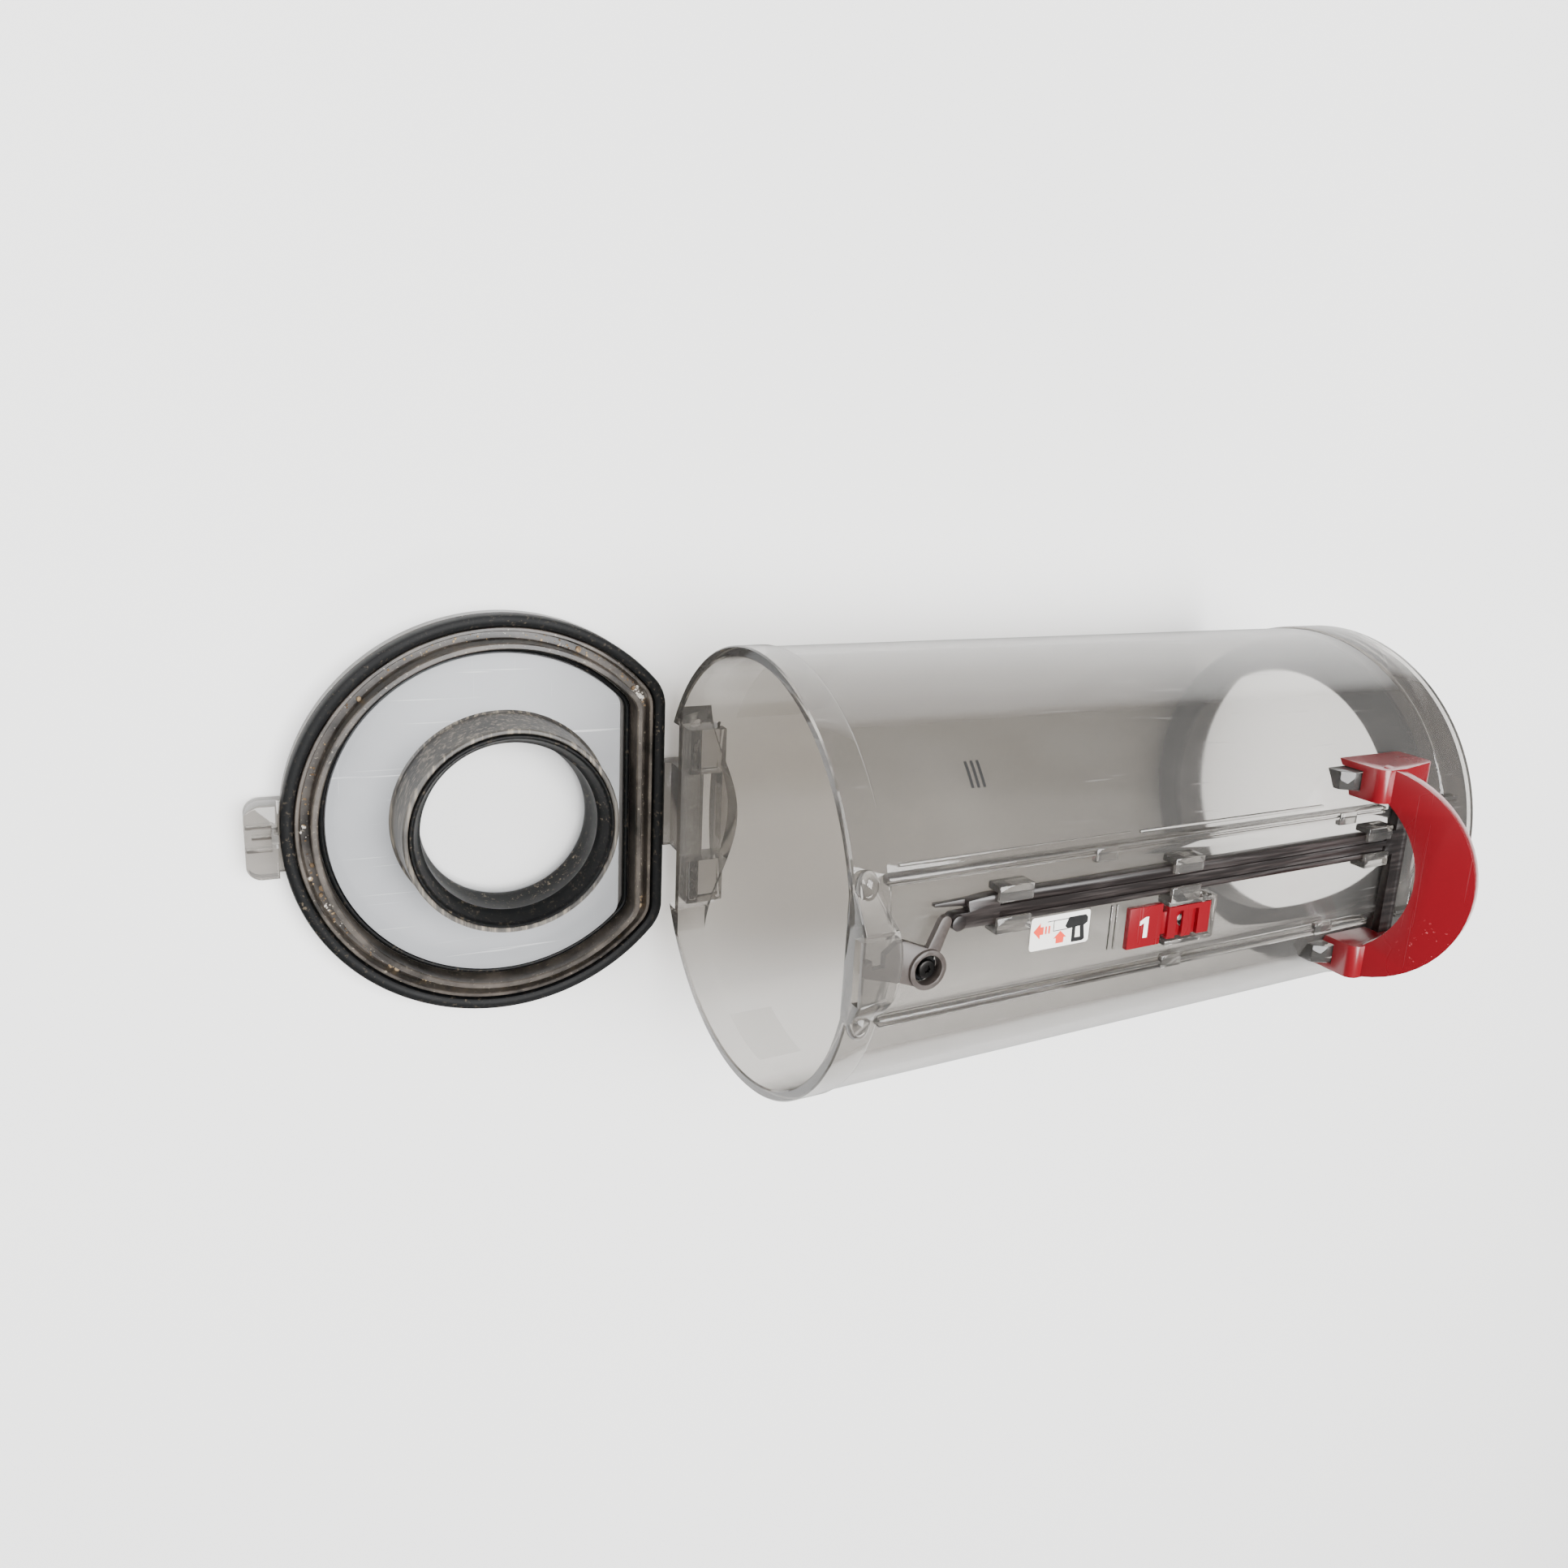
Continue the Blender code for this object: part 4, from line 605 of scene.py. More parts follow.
def drawn_metal(name, colour, low, high):
    """Drawn steel wire or turned screw steel: small darker stains."""
    finish, tree, shader, place = new_finish(name, Metallic=1.0)
    stain = add_node(tree, "ShaderNodeTexNoise", inputs={"Vector": place, "Scale": 500.0, "Detail": 4.0})
    tone = add_node(tree, "ShaderNodeMix", {"data_type": "RGBA"},
                    {0: stain.outputs[0], 6: colour, 7: [c * 0.6 for c in colour[:3]] + [1.0]})
    rough = add_node(tree, "ShaderNodeMapRange", inputs={"Value": stain.outputs[0], "To Min": low, "To Max": high})
    tree.links.new(tone.outputs[2], shader.inputs["Base Color"])
    tree.links.new(rough.outputs[0], shader.inputs["Roughness"])
    return finish


def printed_film(name, colour, roughness=0.35):
    """Printed polyester film or pad-printed ink: even colour with a faint fibre."""
    finish, tree, shader, place = new_finish(name, IOR=1.50)
    fibre = add_node(tree, "ShaderNodeTexNoise", inputs={"Vector": place, "Scale": 800.0, "Detail": 3.0})
    tone = add_node(tree, "ShaderNodeMix", {"data_type": "RGBA"},
                    {0: fibre.outputs[0], 6: colour, 7: [c * 0.86 for c in colour[:3]] + [1.0]})
    rough = add_node(tree, "ShaderNodeMapRange", inputs={"Value": fibre.outputs[0], "To Min": roughness - 0.08,
                                                         "To Max": roughness + 0.12})
    tree.links.new(tone.outputs[2], shader.inputs["Base Color"])
    tree.links.new(rough.outputs[0], shader.inputs["Roughness"])
    return finish


def film_residue():
    """Thin clear film left on the plastic: barely there, with a cloudy edge."""
    finish, tree, shader, place = new_finish("film_residue", IOR=1.45, Alpha=0.08)
    cloud = add_node(tree, "ShaderNodeTexNoise", inputs={"Vector": place, "Scale": 90.0, "Detail": 4.0})
    tone = add_node(tree, "ShaderNodeMix", {"data_type": "RGBA"},
                    {0: cloud.outputs[0], 6: hex_colour("#B9B7A6"), 7: hex_colour("#E4E2DA")})
    rough = add_node(tree, "ShaderNodeMapRange", inputs={"Value": cloud.outputs[0], "To Min": 0.2, "To Max": 0.6})
    tree.links.new(tone.outputs[2], shader.inputs["Base Color"])
    tree.links.new(rough.outputs[0], shader.inputs["Roughness"])
    return finish


def loose_dust():
    """Dust grains: matt, from pale grit to brown crumbs."""
    colours = bpy.context.scene.dust_bin_colours
    finish, tree, shader, place = new_finish("dust_grains", IOR=1.45, Roughness=0.9)
    kind = add_node(tree, "ShaderNodeTexVoronoi", inputs={"Vector": place, "Scale": 320.0})
    shade = add_node(tree, "ShaderNodeSeparateColor", inputs={0: kind.outputs["Color"]})
    tone = add_node(tree, "ShaderNodeMix", {"data_type": "RGBA"},
                    {0: shade.outputs[0], 6: hex_colour("#5E4B38"), 7: colours.grain})
    pale = add_node(tree, "ShaderNodeMapRange", inputs={"Value": shade.outputs[1], "From Min": 0.86, "From Max": 0.9})
    mixed = add_node(tree, "ShaderNodeMix", {"data_type": "RGBA"},
                     {0: pale.outputs[0], 6: tone.outputs[2], 7: hex_colour("#E2DCD2")})
    tree.links.new(mixed.outputs[2], shader.inputs["Base Color"])
    return finish


# ---- the clear shell -------------------------------------------------------------------------
def tube_body(sides):
    step = 0.4 * MM
    far = LENGTH - FAR_BAND
    profile = [(0.4 * MM, BORE), (0, BORE + step), (0, BAND - step), (0.4 * MM, BAND),
               (MOUTH_BAND - 0.3 * MM, BAND), (MOUTH_BAND + 0.2 * MM, BAND - 0.15 * MM),
               (MOUTH_BAND + 0.6 * MM, RADIUS), (far - 0.6 * MM, RADIUS), (far - 0.2 * MM, BAND - 0.15 * MM),
               (far + 0.3 * MM, BAND), (LENGTH - 0.4 * MM, BAND), (LENGTH, BAND - step),
               (LENGTH, BORE + step), (LENGTH - 0.4 * MM, BORE)]
    return turned(profile, sides)


def deck_and_rails(shell, edge):
    inside = DECK - 2.3 * MM
    half = math.sqrt(BORE ** 2 - inside ** 2) + 1 * MM
    add_to(shell, block((DECK_START, -half, inside), (DECK_END, half, DECK + 1 * MM)))
    flat = RAIL_Y - 1 * MM
    cut_from(shell, block((DECK_START, -flat, DECK), (DECK_END, flat, BAND + 5 * MM), 0.6 * MM))
    for side in (-1, 1):
        centre = side * RAIL_Y
        for start, stop in ((MOUTH_BAND - 1 * MM, NOTCH[0]), (NOTCH[1], RAIL_END)):
            rail = block((start, centre - 1 * MM, DECK - 1.5 * MM), (stop, centre + 1 * MM, RAIL_TOP), edge)
            groove = block((start - 1 * MM, centre - 0.3 * MM, RAIL_TOP - 0.7 * MM),
                           (stop + 1 * MM, centre + 0.3 * MM, RAIL_TOP + 1 * MM))
            add_to(shell, cut_from(rail, groove))
    outer = (RAIL_Y + 2.3 * MM)
    level = math.sqrt(RADIUS ** 2 - outer ** 2)
    for side, runs in ((-1, ((10, 47), (49, 96), (99, 152))), (1, ((12, 80), (83, 150)))):
        for start, stop in runs:
            add_to(shell, block((start * MM, side * outer - 0.4 * MM, level - 1 * MM),
                                (stop * MM, side * outer + 0.4 * MM, level + 0.6 * MM), 0.25 * MM))


def clips_and_tabs(shell, edge):
    roof = ROD_TOP + 0.4 * MM
    for x in CLIPS:
        for side, rod_edge in ((1, ROD_HIGH_Y), (-1, ROD_LOW_Y)):
            post = sorted((rod_edge + side * 0.5 * MM, rod_edge + side * 2.4 * MM))
            hook = sorted((rod_edge - side * 1.7 * MM, rod_edge + side * 2.4 * MM))
            add_to(shell, block((x, post[0], DECK - 1 * MM), (x + 10 * MM, post[1], roof + 1.1 * MM), edge),
                   block((x, hook[0], roof), (x + 10 * MM, hook[1], roof + 1.1 * MM), edge))
    for x, side in ((66, 1), (153, 1), (92, -1), (150, -1)):
        low, high = sorted((side * (RAIL_Y - 2.6 * MM), side * (RAIL_Y + 1 * MM)))
        add_to(shell, block((x * MM, low, RAIL_TOP - 1.3 * MM), ((x + 7) * MM, high, RAIL_TOP + 0.4 * MM), edge))


def hood(shell):
    """Arched hood over the catch, swelling towards the deck, with a lump at each end."""
    foot = DECK - 1.2 * MM
    section = [(18.5 * MM, foot - 1 * MM), (13.8 * MM, DECK + 2.0 * MM), (10.8 * MM, HOOD_TOP - 2.2 * MM),
               (7.0 * MM, HOOD_TOP), (-9.5 * MM, HOOD_TOP), (-12.5 * MM, HOOD_TOP - 1.6 * MM),
               (-15.5 * MM, DECK + 2.2 * MM), (-20.5 * MM, foot - 2 * MM)]
    body = slab(section, 0.0, 13.0 * MM, "YZ", 1.0 * MM, 3)
    bow = [(18.6, -0.5), (18.6, 4.0), (15.0, 5.4), (12.0, 6.6), (9.0, 8.0), (6.0, 9.2), (3.0, 10.0),
           (0.0, 10.3), (-3.0, 10.2), (-6.0, 9.7), (-9.0, 8.9), (-12.0, 7.8), (-15.0, 6.4), (-18.0, 5.0),
           (-20.6, 4.0), (-20.6, -0.5)]
    plan = slab([(x * MM, y * MM) for y, x in bow], DECK - 8 * MM, HOOD_TOP + 1 * MM, "XY", 0.0)
    keep_within(body, plan)
    add_to(shell, body)
    cut_from(shell, block((-1 * MM, -10.4 * MM, PLATE_Z - 0.4 * MM), (14 * MM, 5.0 * MM, HOOD_CEILING)))
    for y, x, reach in ((16.3, 2.9, 3.2), (-16.9, 3.0, 3.3)):
        bm = bmesh.new()
        level = math.sqrt(RADIUS ** 2 - (y * MM) ** 2) + 1.2 * MM
        place = Matrix.Translation((x * MM, y * MM, level)) @ Matrix.Diagonal((0.85, 1.15, 0.8, 1.0))
        bmesh.ops.create_uvsphere(bm, u_segments=32, v_segments=16, radius=reach * MM, matrix=place)
        add_to(shell, part_from(bm))


def catch_post(shell):
    add_to(shell, drum((CATCH.x, CATCH.y, DECK - 1 * MM), 2.6 * MM, 3.2 * MM, rounding=0.2 * MM))
    cut_from(shell, drum((CATCH.x, CATCH.y, DECK - 1.7 * MM), 1.5 * MM, 6 * MM))


def guides(shell):
    """Hollow wedges that the lever's feet slide over."""
    start = LEVER_FRONT - 5.5 * MM
    root = DECK - 10 * MM
    outline = [(start, root), (start, GUIDE_TOP - 2.2 * MM), (LEVER_FRONT - 1.5 * MM, GUIDE_TOP),
               (start + 15 * MM, GUIDE_TOP), (start + 15 * MM, root)]
    for side in (-1, 1):
        low, high = sorted((side * 23.4 * MM, side * 28.6 * MM))
        wedge = slab(outline, low, high, "XZ", 0.25 * MM)
        add_to(shell, cut_from(wedge, drum((0, 0, 0), RADIUS - 1.15 * MM, LENGTH, "X", 192)))


def button_cheeks(shell, edge):
    half = BUTTON_SIZE / 2 - 1.2 * MM
    top = DECK + 4.2 * MM
    for side in (-1, 1):
        inner = BUTTON_Y + side * (half + 0.4 * MM)
        low, high = sorted((inner, inner + side * 1.3 * MM))
        add_to(shell, block((91 * MM, low, DECK - 1 * MM), (108 * MM, high, top), edge))
    add_to(shell, block((106.8 * MM, BUTTON_Y - half - 1 * MM, DECK - 1 * MM),
                        (108 * MM, BUTTON_Y + half + 1 * MM, top), edge))
    add_to(shell, block((75.2 * MM, BUTTON_Y - 6 * MM, DECK - 0.5 * MM), (75.9 * MM, BUTTON_Y + 6 * MM, DECK + 0.5 * MM),
                        0.2 * MM),
           block((77.0 * MM, BUTTON_Y - 6 * MM, DECK - 0.5 * MM), (77.5 * MM, BUTTON_Y + 6 * MM, DECK + 0.5 * MM),
                 0.2 * MM))
    axis = Vector(JOINTS["button_press"]["pos_m"])
    pin = BIN.inverted() @ axis
    cut_from(shell, drum((pin.x, BUTTON_Y - 8.5 * MM, pin.z), 1.1 * MM, 17 * MM, "Y", 24))


def hinge_side(shell):
    """Flat wall and pocket at the mouth's hinge side, running out to the bore in a soft wave."""
    inner = CHORD - 2.5 * MM
    reach = 36.0 * MM
    steps = 24
    wave = [(8.6 * MM + 9.5 * MM * (0.5 + 0.5 * math.cos(math.pi * i / steps * 2 - math.pi)),
             -reach + 2 * reach * i / steps) for i in range(steps + 1)]
    plan = slab([(0.0, -reach)] + wave + [(0.0, reach)], -BAND - 6 * MM, -inner, "XY")
    keep_within(plan, drum((-1 * MM, 0, 0), RADIUS - 0.4 * MM, LENGTH, "X", 192))
    add_to(shell, plan)
    end = POCKET
    pocket = slab([(-1 * MM, -CHORD), (end - 2 * MM, -CHORD), (end, -BAND - 9 * MM), (-1 * MM, -BAND - 9 * MM)],
                  -28 * MM, 28 * MM, "XZ")
    cut_from(shell, pocket)
    outline = arc((HINGE.x, HINGE.z), 3.3 * MM, 180, 270, 12)
    outline += [(end - 0.5 * MM, HINGE.z - 3.3 * MM), (end - 1.0 * MM, -CHORD + 0.8 * MM),
                (HINGE.x - 3.3 * MM, -CHORD + 0.8 * MM)]
    for low, high in ((13.3 * MM, 26.5 * MM), (-26.5 * MM, -13.3 * MM)):
        add_to(shell, slab(outline, low, high, "XZ", 0.2 * MM))
    cut_from(shell, drum((HINGE.x, -40 * MM, HINGE.z), 1.7 * MM, 80 * MM, "Y", 32))


def lower_wall_marks():
    """Two raised rectangles on the outside of the lower wall near the mouth."""
    marks = []
    for start, stop, first, last in ((19, 42, 118, 150), (8, 21, 247, 268)):
        bm = bmesh.new()
        ring = [bm.verts.new((start * MM, (RADIUS + 0.12 * MM) * math.sin(math.radians(first)),
                              (RADIUS + 0.12 * MM) * math.cos(math.radians(first)))),
                bm.verts.new((stop * MM, (RADIUS + 0.12 * MM) * math.sin(math.radians(first)),
                              (RADIUS + 0.12 * MM) * math.cos(math.radians(first))))]
        line = [bm.edges.new(ring)]
        bmesh.ops.spin(bm, geom=ring + line, cent=(0, 0, 0), axis=(-1, 0, 0), angle=math.radians(last - first), steps=16)
        bmesh.ops.solidify(bm, geom=bm.faces[:], thickness=0.10 * MM)
        marks.append(part_from(bm))
    return merge_meshes(marks)


# ---- the flap --------------------------------------------------------------------------------
def d_outline(inset, extra_chord=0.0, sides=144):
    """The flap's D shape, (y, z) points, stepped inwards from its outer edge."""
    radius = FLAP_EDGE - inset
    chord = CHORD - inset - extra_chord
    corner = max(FLAP_CORNER - inset * 0.6, 3 * MM)
    corner_z = -chord + corner
    corner_y = math.sqrt((radius - corner) ** 2 - corner_z ** 2)
    join_angle = math.degrees(math.atan2(corner_z, corner_y))
    points = arc((0, 0), radius, join_angle, 180 - join_angle, sides)
    points += arc((-corner_y, corner_z), corner, 180 - join_angle, 270, 12)[1:]
    points += arc((corner_y, corner_z), corner, 270, 360 + join_angle, 12)[:-1]
    return points


def d_ring(section):
    """A closed D-shaped ring. Its section is a list of (level, inset, extra chord) points."""
    bm = bmesh.new()
    rows = [[bm.verts.new((level, y, z)) for y, z in d_outline(inset, extra)] for level, inset, extra in section]
    for near, far in zip(rows, rows[1:] + rows[:1]):
        for i in range(len(near)):
            bm.faces.new((near[i - 1], near[i], far[i], far[i - 1]))
    return part_from(bm)


def mm_section(points):
    return [(a * MM, b * MM, c * MM) for a, b, c in points]


def frame_ring():
    """Clear frame: flange, thin outer wall, dust channel, bright rim and ledge."""
    return d_ring(mm_section([
        (-10.5, 0.4, 0), (-10.2, 0, 0), (-5.9, 0, 0), (-5.6, 0.3, 0), (-5.6, 3.3, 0), (-5.4, 3.5, 0),
        (-1.7, 3.5, 0), (-1.5, 3.7, 0), (-1.5, 4.4, 0), (-1.7, 4.6, 0), (-5.2, 4.7, 0), (-5.6, 5.1, 0),
        (-5.6, 7.0, 0), (-5.2, 7.4, 0), (1.2, 7.4, 0), (1.5, 7.7, 0), (1.5, 8.8, 0), (1.2, 9.1, 0),
        (-6.9, 9.1, 0), (-7.2, 9.3, 0), (-7.2, 13.3, 2), (-7.4, 13.5, 2), (-10.5, 13.5, 2)]))


def tongue_and_knuckle():
    """Clear thumb tongue with its barbed lug, and the knuckle on its neck at the hinge side."""
    half, mid, tip = 10.3 * MM, -1.2 * MM, FLAP_EDGE + 8.5 * MM
    outline = [(mid + half, FLAP_EDGE - 4 * MM)]
    outline += arc((mid + half - 4 * MM, tip - 4 * MM), 4 * MM, 0, 90, 10)
    outline += arc((mid - half + 4 * MM, tip - 4 * MM), 4 * MM, 90, 180, 10)
    outline += [(mid - half, FLAP_EDGE - 4 * MM)]
    tongue = slab(outline, -9.5 * MM, -5.9 * MM, "YZ", 0.5 * MM, 3)
    upper = [(y, max(z, FLAP_EDGE + 0.5 * MM)) for y, z in outline]
    lip = slab(upper, -6.6 * MM, -0.6 * MM, "YZ", 0.6 * MM, 3)
    for y, high in ((2.8, 66.3), (-0.2, 65.0), (-3.6, 66.3)):
        cut_from(lip, block((-3.2 * MM, y * MM, 60.2 * MM), (1 * MM, (y + 1.1) * MM, high * MM)))
    low = CATCH.y + 5 * MM
    lug = slab([(-1.5 * MM, low), (3.6 * MM, low), (3.6 * MM, low - 2 * MM), (6 * MM, low), (6 * MM, low + 2.4 * MM),
                (-1.5 * MM, low + 2.4 * MM)], 58.7 * MM, 60.4 * MM, "XY", 0.15 * MM)
    half = 13 * MM
    knuckle = arc((HINGE.x, HINGE.z), 3.3 * MM, -90, 90, 16)
    knuckle += [(-2.0 * MM, HINGE.z + 3.3 * MM), (-2.0 * MM, -CHORD + 2 * MM), (-8.0 * MM, -CHORD + 2 * MM),
                (-8.0 * MM, HINGE.z - 3.3 * MM)]
    neck = slab(knuckle, -half, half, "XZ", 0.2 * MM)
    cut_from(neck, block((-5.8 * MM, -half - 1 * MM, -CHORD - 0.5 * MM), (1 * MM, half + 1 * MM, -CHORD + 3 * MM)))
    cut_from(neck, drum((HINGE.x, -half - 1 * MM, HINGE.z), 1.7 * MM, 28 * MM, "Y", 32))
    return merge_meshes([add_to(tongue, lip, lug), neck])


def floor_plate():
    """Floor of the flap, with a small step round its edge."""
    plate = slab(d_outline(11.1 * MM, 1.5 * MM), -6.9 * MM, FLOOR_TOP, "YZ", 0.2 * MM)
    return plate


def cup_wall():
    """Tapered cup with a narrow bright rim and a foot that flares into the floor."""
    profile = [(-4.35, 31.0), (-4.0, 30.4), (-3.2, 30.15), (11.2, 29.45), (11.7, 29.35), (12.0, 29.0), (12.0, 28.3),
               (11.8, 28.0), (-4.35, 28.0)]
    return turned([(a * MM, r * MM) for a, r in profile], 144)


def funnel():
    """Rubber funnel inside the cup: folded rim, sloping wall, crease and thin lip."""
    profile = [(-4.1, 23.35), (-4.1, 27.7), (12.2, 27.7), (12.55, 27.5), (12.6, 27.1), (12.3, 26.7), (11.4, 26.35),
               (8.2, 25.3), (7.4, 24.8), (6.8, 24.3), (6.2, 24.35), (5.4, 24.6), (0.0, 24.2), (-2.2, 23.5), (-3.4, 23.3)]
    return turned([(a * MM, r * MM) for a, r in profile], 144)


def channel_grains(count):
    """Loose grains along the channel, thicker at its lower side, with a few larger crumbs."""
    chance = random.Random(11)
    bm = bmesh.new()
    outlines = {inset: d_outline(inset * MM) for inset in (5.3, 5.8, 6.3, 6.8)}
    placed = 0
    while placed < count:
        outline = outlines[chance.choice(list(outlines))]
        y, z = outline[chance.randrange(len(outline))]
        weight = 0.25 + 0.75 * max(0.0, -y / FLAP_EDGE) if z > -CHORD + 12 * MM else 0.8
        if chance.random() > weight:
            continue
        placed += 1
        size = chance.uniform(0.12, 0.38) if chance.random() < 0.94 else chance.uniform(0.5, 0.9)
        spot = (-5.55 * MM + size * 0.4 * MM, y + chance.uniform(-1, 1) * MM * 0.6, z + chance.uniform(-1, 1) * MM * 0.6)
        place = Matrix.Translation(spot) @ Matrix.Rotation(chance.uniform(0, 6.28), 4, "X") \
            @ Matrix.Diagonal((0.6 * size, size * chance.uniform(0.6, 1.4), size, 1.0))
        bmesh.ops.create_icosphere(bm, subdivisions=1, radius=MM, matrix=place)
    return part_from(bm)


# ---- far end ---------------------------------------------------------------------------------
def collar():
    """Smoked ring with two rims and thin windows between short ribs."""
    outer, end = BORE - 0.3 * MM, LENGTH - 0.6 * MM
    start = end - 17.4 * MM
    inner = outer - 2.8 * MM
    ring = turned([(start, outer - 0.3 * MM), (start + 0.3 * MM, outer), (start + 2.4 * MM, outer),
                   (start + 2.7 * MM, outer - 1.4 * MM), (end - 2.9 * MM, outer - 1.4 * MM), (end - 2.6 * MM, outer),
                   (end - 0.3 * MM, outer), (end, outer - 0.3 * MM), (end, inner + 0.3 * MM), (end - 0.3 * MM, inner),
                   (start + 3 * MM, inner), (start, inner + 0.8 * MM)], 192)
    ribs = []
    for i in range(18):
        rib = block((start + 1.5 * MM, -0.6 * MM, inner + 0.6 * MM), (end - 1.8 * MM, 0.6 * MM, outer - 0.05 * MM), 0.2 * MM)
        rib.data.transform(Matrix.Rotation(math.radians(20 * i + 4), 4, "X"))
        ribs.append(rib)
    return add_to(ring, *ribs)


def scraper():
    """Black seal whose lip wipes the cyclone, with a small pull tab."""
    outer = BORE - 0.3 * MM
    back = LENGTH - 0.6 * MM - 17.4 * MM - 0.3 * MM
    front = back - 2.2 * MM
    lip = outer - 11.4 * MM
    ring = turned([(back, outer - 0.2 * MM), (back, lip + 4.4 * MM), (back - 0.7 * MM, lip + 3.6 * MM),
                   (front + 0.1 * MM, lip + 0.2 * MM), (front - 0.4 * MM, lip), (front - 1.0 * MM, lip + 0.05 * MM),
                   (front - 1.3 * MM, lip + 0.4 * MM), (front - 0.6 * MM, lip + 3.2 * MM), (front, lip + 4.2 * MM),
                   (front, outer - 0.5 * MM), (front + 0.3 * MM, outer)], 192)
    tab = drum((front - 0.9 * MM, 0, lip + 0.8 * MM), 2.0 * MM, 0.8 * MM, "X", 24, 0.2 * MM)
    tab.data.transform(Matrix.Rotation(math.radians(-139), 4, "X"))
    return add_to(ring, tab)


# ---- operators -------------------------------------------------------------------------------
class DUSTBIN_OT_shell(bpy.types.Operator):
    """Build the clear shell with its deck, rails, clips, hood, guides and hinge pocket"""
    bl_idname = "dustbin.shell"
    bl_label = "Clear shell"

    def execute(self, context):
        sizes, colours = context.scene.dust_bin_sizes, context.scene.dust_bin_colours
        shell = tube_body(sizes.sides)
        deck_and_rails(shell, sizes.edge)
        hinge_side(shell)
        hood(shell)
        catch_post(shell)
        clips_and_tabs(shell, sizes.edge)
        guides(shell)
        button_cheeks(shell, sizes.edge)
        finish_piece(shell, "clear_shell", BIN, "bin", clear_plastic("clear_abs_shell", colours.clear_tint),
                     ["bin_shell"], 28.0)
        return {"FINISHED"}


class DUSTBIN_OT_far_end(bpy.types.Operator):
    """Build the smoked collar and the scraper seal at the far end"""
    bl_idname = "dustbin.far_end"
    bl_label = "Collar and scraper"

    def execute(self, context):
        finish_piece(collar(), "smoked_collar", BIN, "bin", smoked_plastic(), ["collar_ring"])
        finish_piece(scraper(), "scraper_ring", BIN, "bin", seal_rubber("scraper_rubber", 0.35),
                     ["scraper_seal"])
        return {"FINISHED"}


class DUSTBIN_OT_flap(bpy.types.Operator):
    """Build the open flap: frame, floor, cup, rubber parts and the dust in its channel"""
    bl_idname = "dustbin.flap"
    bl_label = "Flap"

    def execute(self, context):
        sizes = context.scene.dust_bin_sizes
        dusty = dusty_frame("clear_abs_dusty", "#25221F", "#544D46", 0.2)
        plain = floor_sheet()
        striped = dusty_frame("clear_abs_cup", "#33312F", "#55524D", 0.15, True)
        rubber = seal_rubber("flap_rubber", 0.55)
        finish_piece(frame_ring(), "flap_rim", FLAP, "flap", dusty, ["flap_frame"])
        finish_piece(tongue_and_knuckle(), "flap_tongue", FLAP, "flap",
                     clear_plastic("clear_abs_tongue", context.scene.dust_bin_colours.clear_tint, haze=0.15),
                     ["flap_frame"])
        finish_piece(floor_plate(), "floor_plate", FLAP, "flap", plain, ["flap_floor"])
        finish_piece(cup_wall(), "cup_wall", FLAP, "flap", striped, ["flap_floor"])
        seal = d_ring(mm_section([(-5.3, 0.2, 0), (-5.1, 0, 0), (-1.1, 0, 0), (-0.6, 0.3, 0), (-0.35, 0.9, 0),
                                  (-0.3, 1.6, 0), (-0.4, 2.4, 0), (-0.8, 3.0, 0), (-1.3, 3.2, 0), (-5.1, 3.2, 0),
                                  (-5.3, 3.0, 0)]))
        finish_piece(seal, "rim_seal", FLAP, "flap", rubber, ["flap_seal"])
        gasket = d_ring(mm_section([(-6.85, 9.6, 0), (-5.4, 9.5, 0), (-5.0, 9.8, 0), (-4.85, 10.2, 0), (-5.0, 10.6, 0),
                                    (-5.4, 10.85, 0), (-6.85, 10.8, 0)]))
        finish_piece(gasket, "floor_seal", FLAP, "flap", rubber, ["floor_gasket"])
        finish_piece(funnel(), "cup_funnel", FLAP, "flap", seal_rubber("funnel_rubber", 0.9),
                     ["cup_seal"])
        if sizes.grains:
            finish_piece(channel_grains(sizes.grains), "channel_grains", FLAP, "flap", loose_dust(),
                         smooth=60.0)
        return {"FINISHED"}


class DUSTBIN_OT_catch(bpy.types.Operator):
    """Round the catch, its bush and screw, and copy its spring"""
    bl_idname = "dustbin.catch"
    bl_label = "Catch"

    def execute(self, context):
        colours = context.scene.dust_bin_colours
        finish_piece(refined_copy("catch_lever", 0.25 * MM), "catch_arms", Matrix.Identity(4), "catch",
                     catch_acetal(), ["catch_lever"])
        low = DECK + 0.3 * MM
        bush = turned([(low, 2.9 * MM), (low, 3.3 * MM), (low + 2.5 * MM, 3.3 * MM), (low + 2.8 * MM, 3.0 * MM),
                       (low + 2.8 * MM, 1.5 * MM), (low + 2.2 * MM, 1.5 * MM), (low + 2.2 * MM, 2.9 * MM)],
                      48, "Z", (CATCH.x, CATCH.y, 0))
        finish_piece(bush, "pivot_bush", BIN, "bin", seal_rubber("bush_black", 0.2), ["catch_bush"])
        metal = drawn_metal("blackened_screw_steel", colours.screw_black, 0.25, 0.45)
        finish_piece(screw_with_drive(CATCH.x, CATCH.y, DECK + 3.4 * MM, 1), "pivot_screw", BIN, "bin", metal,
                     ["catch_screw"])
        finish_piece(refined_copy("catch_spring", 0.0, dissolve=0.0), "catch_coil", Matrix.Identity(4), "bin",
                     drawn_metal("spring_steel", colours.steel, 0.2, 0.4), ["catch_spring"], 80.0)
        return {"FINISHED"}


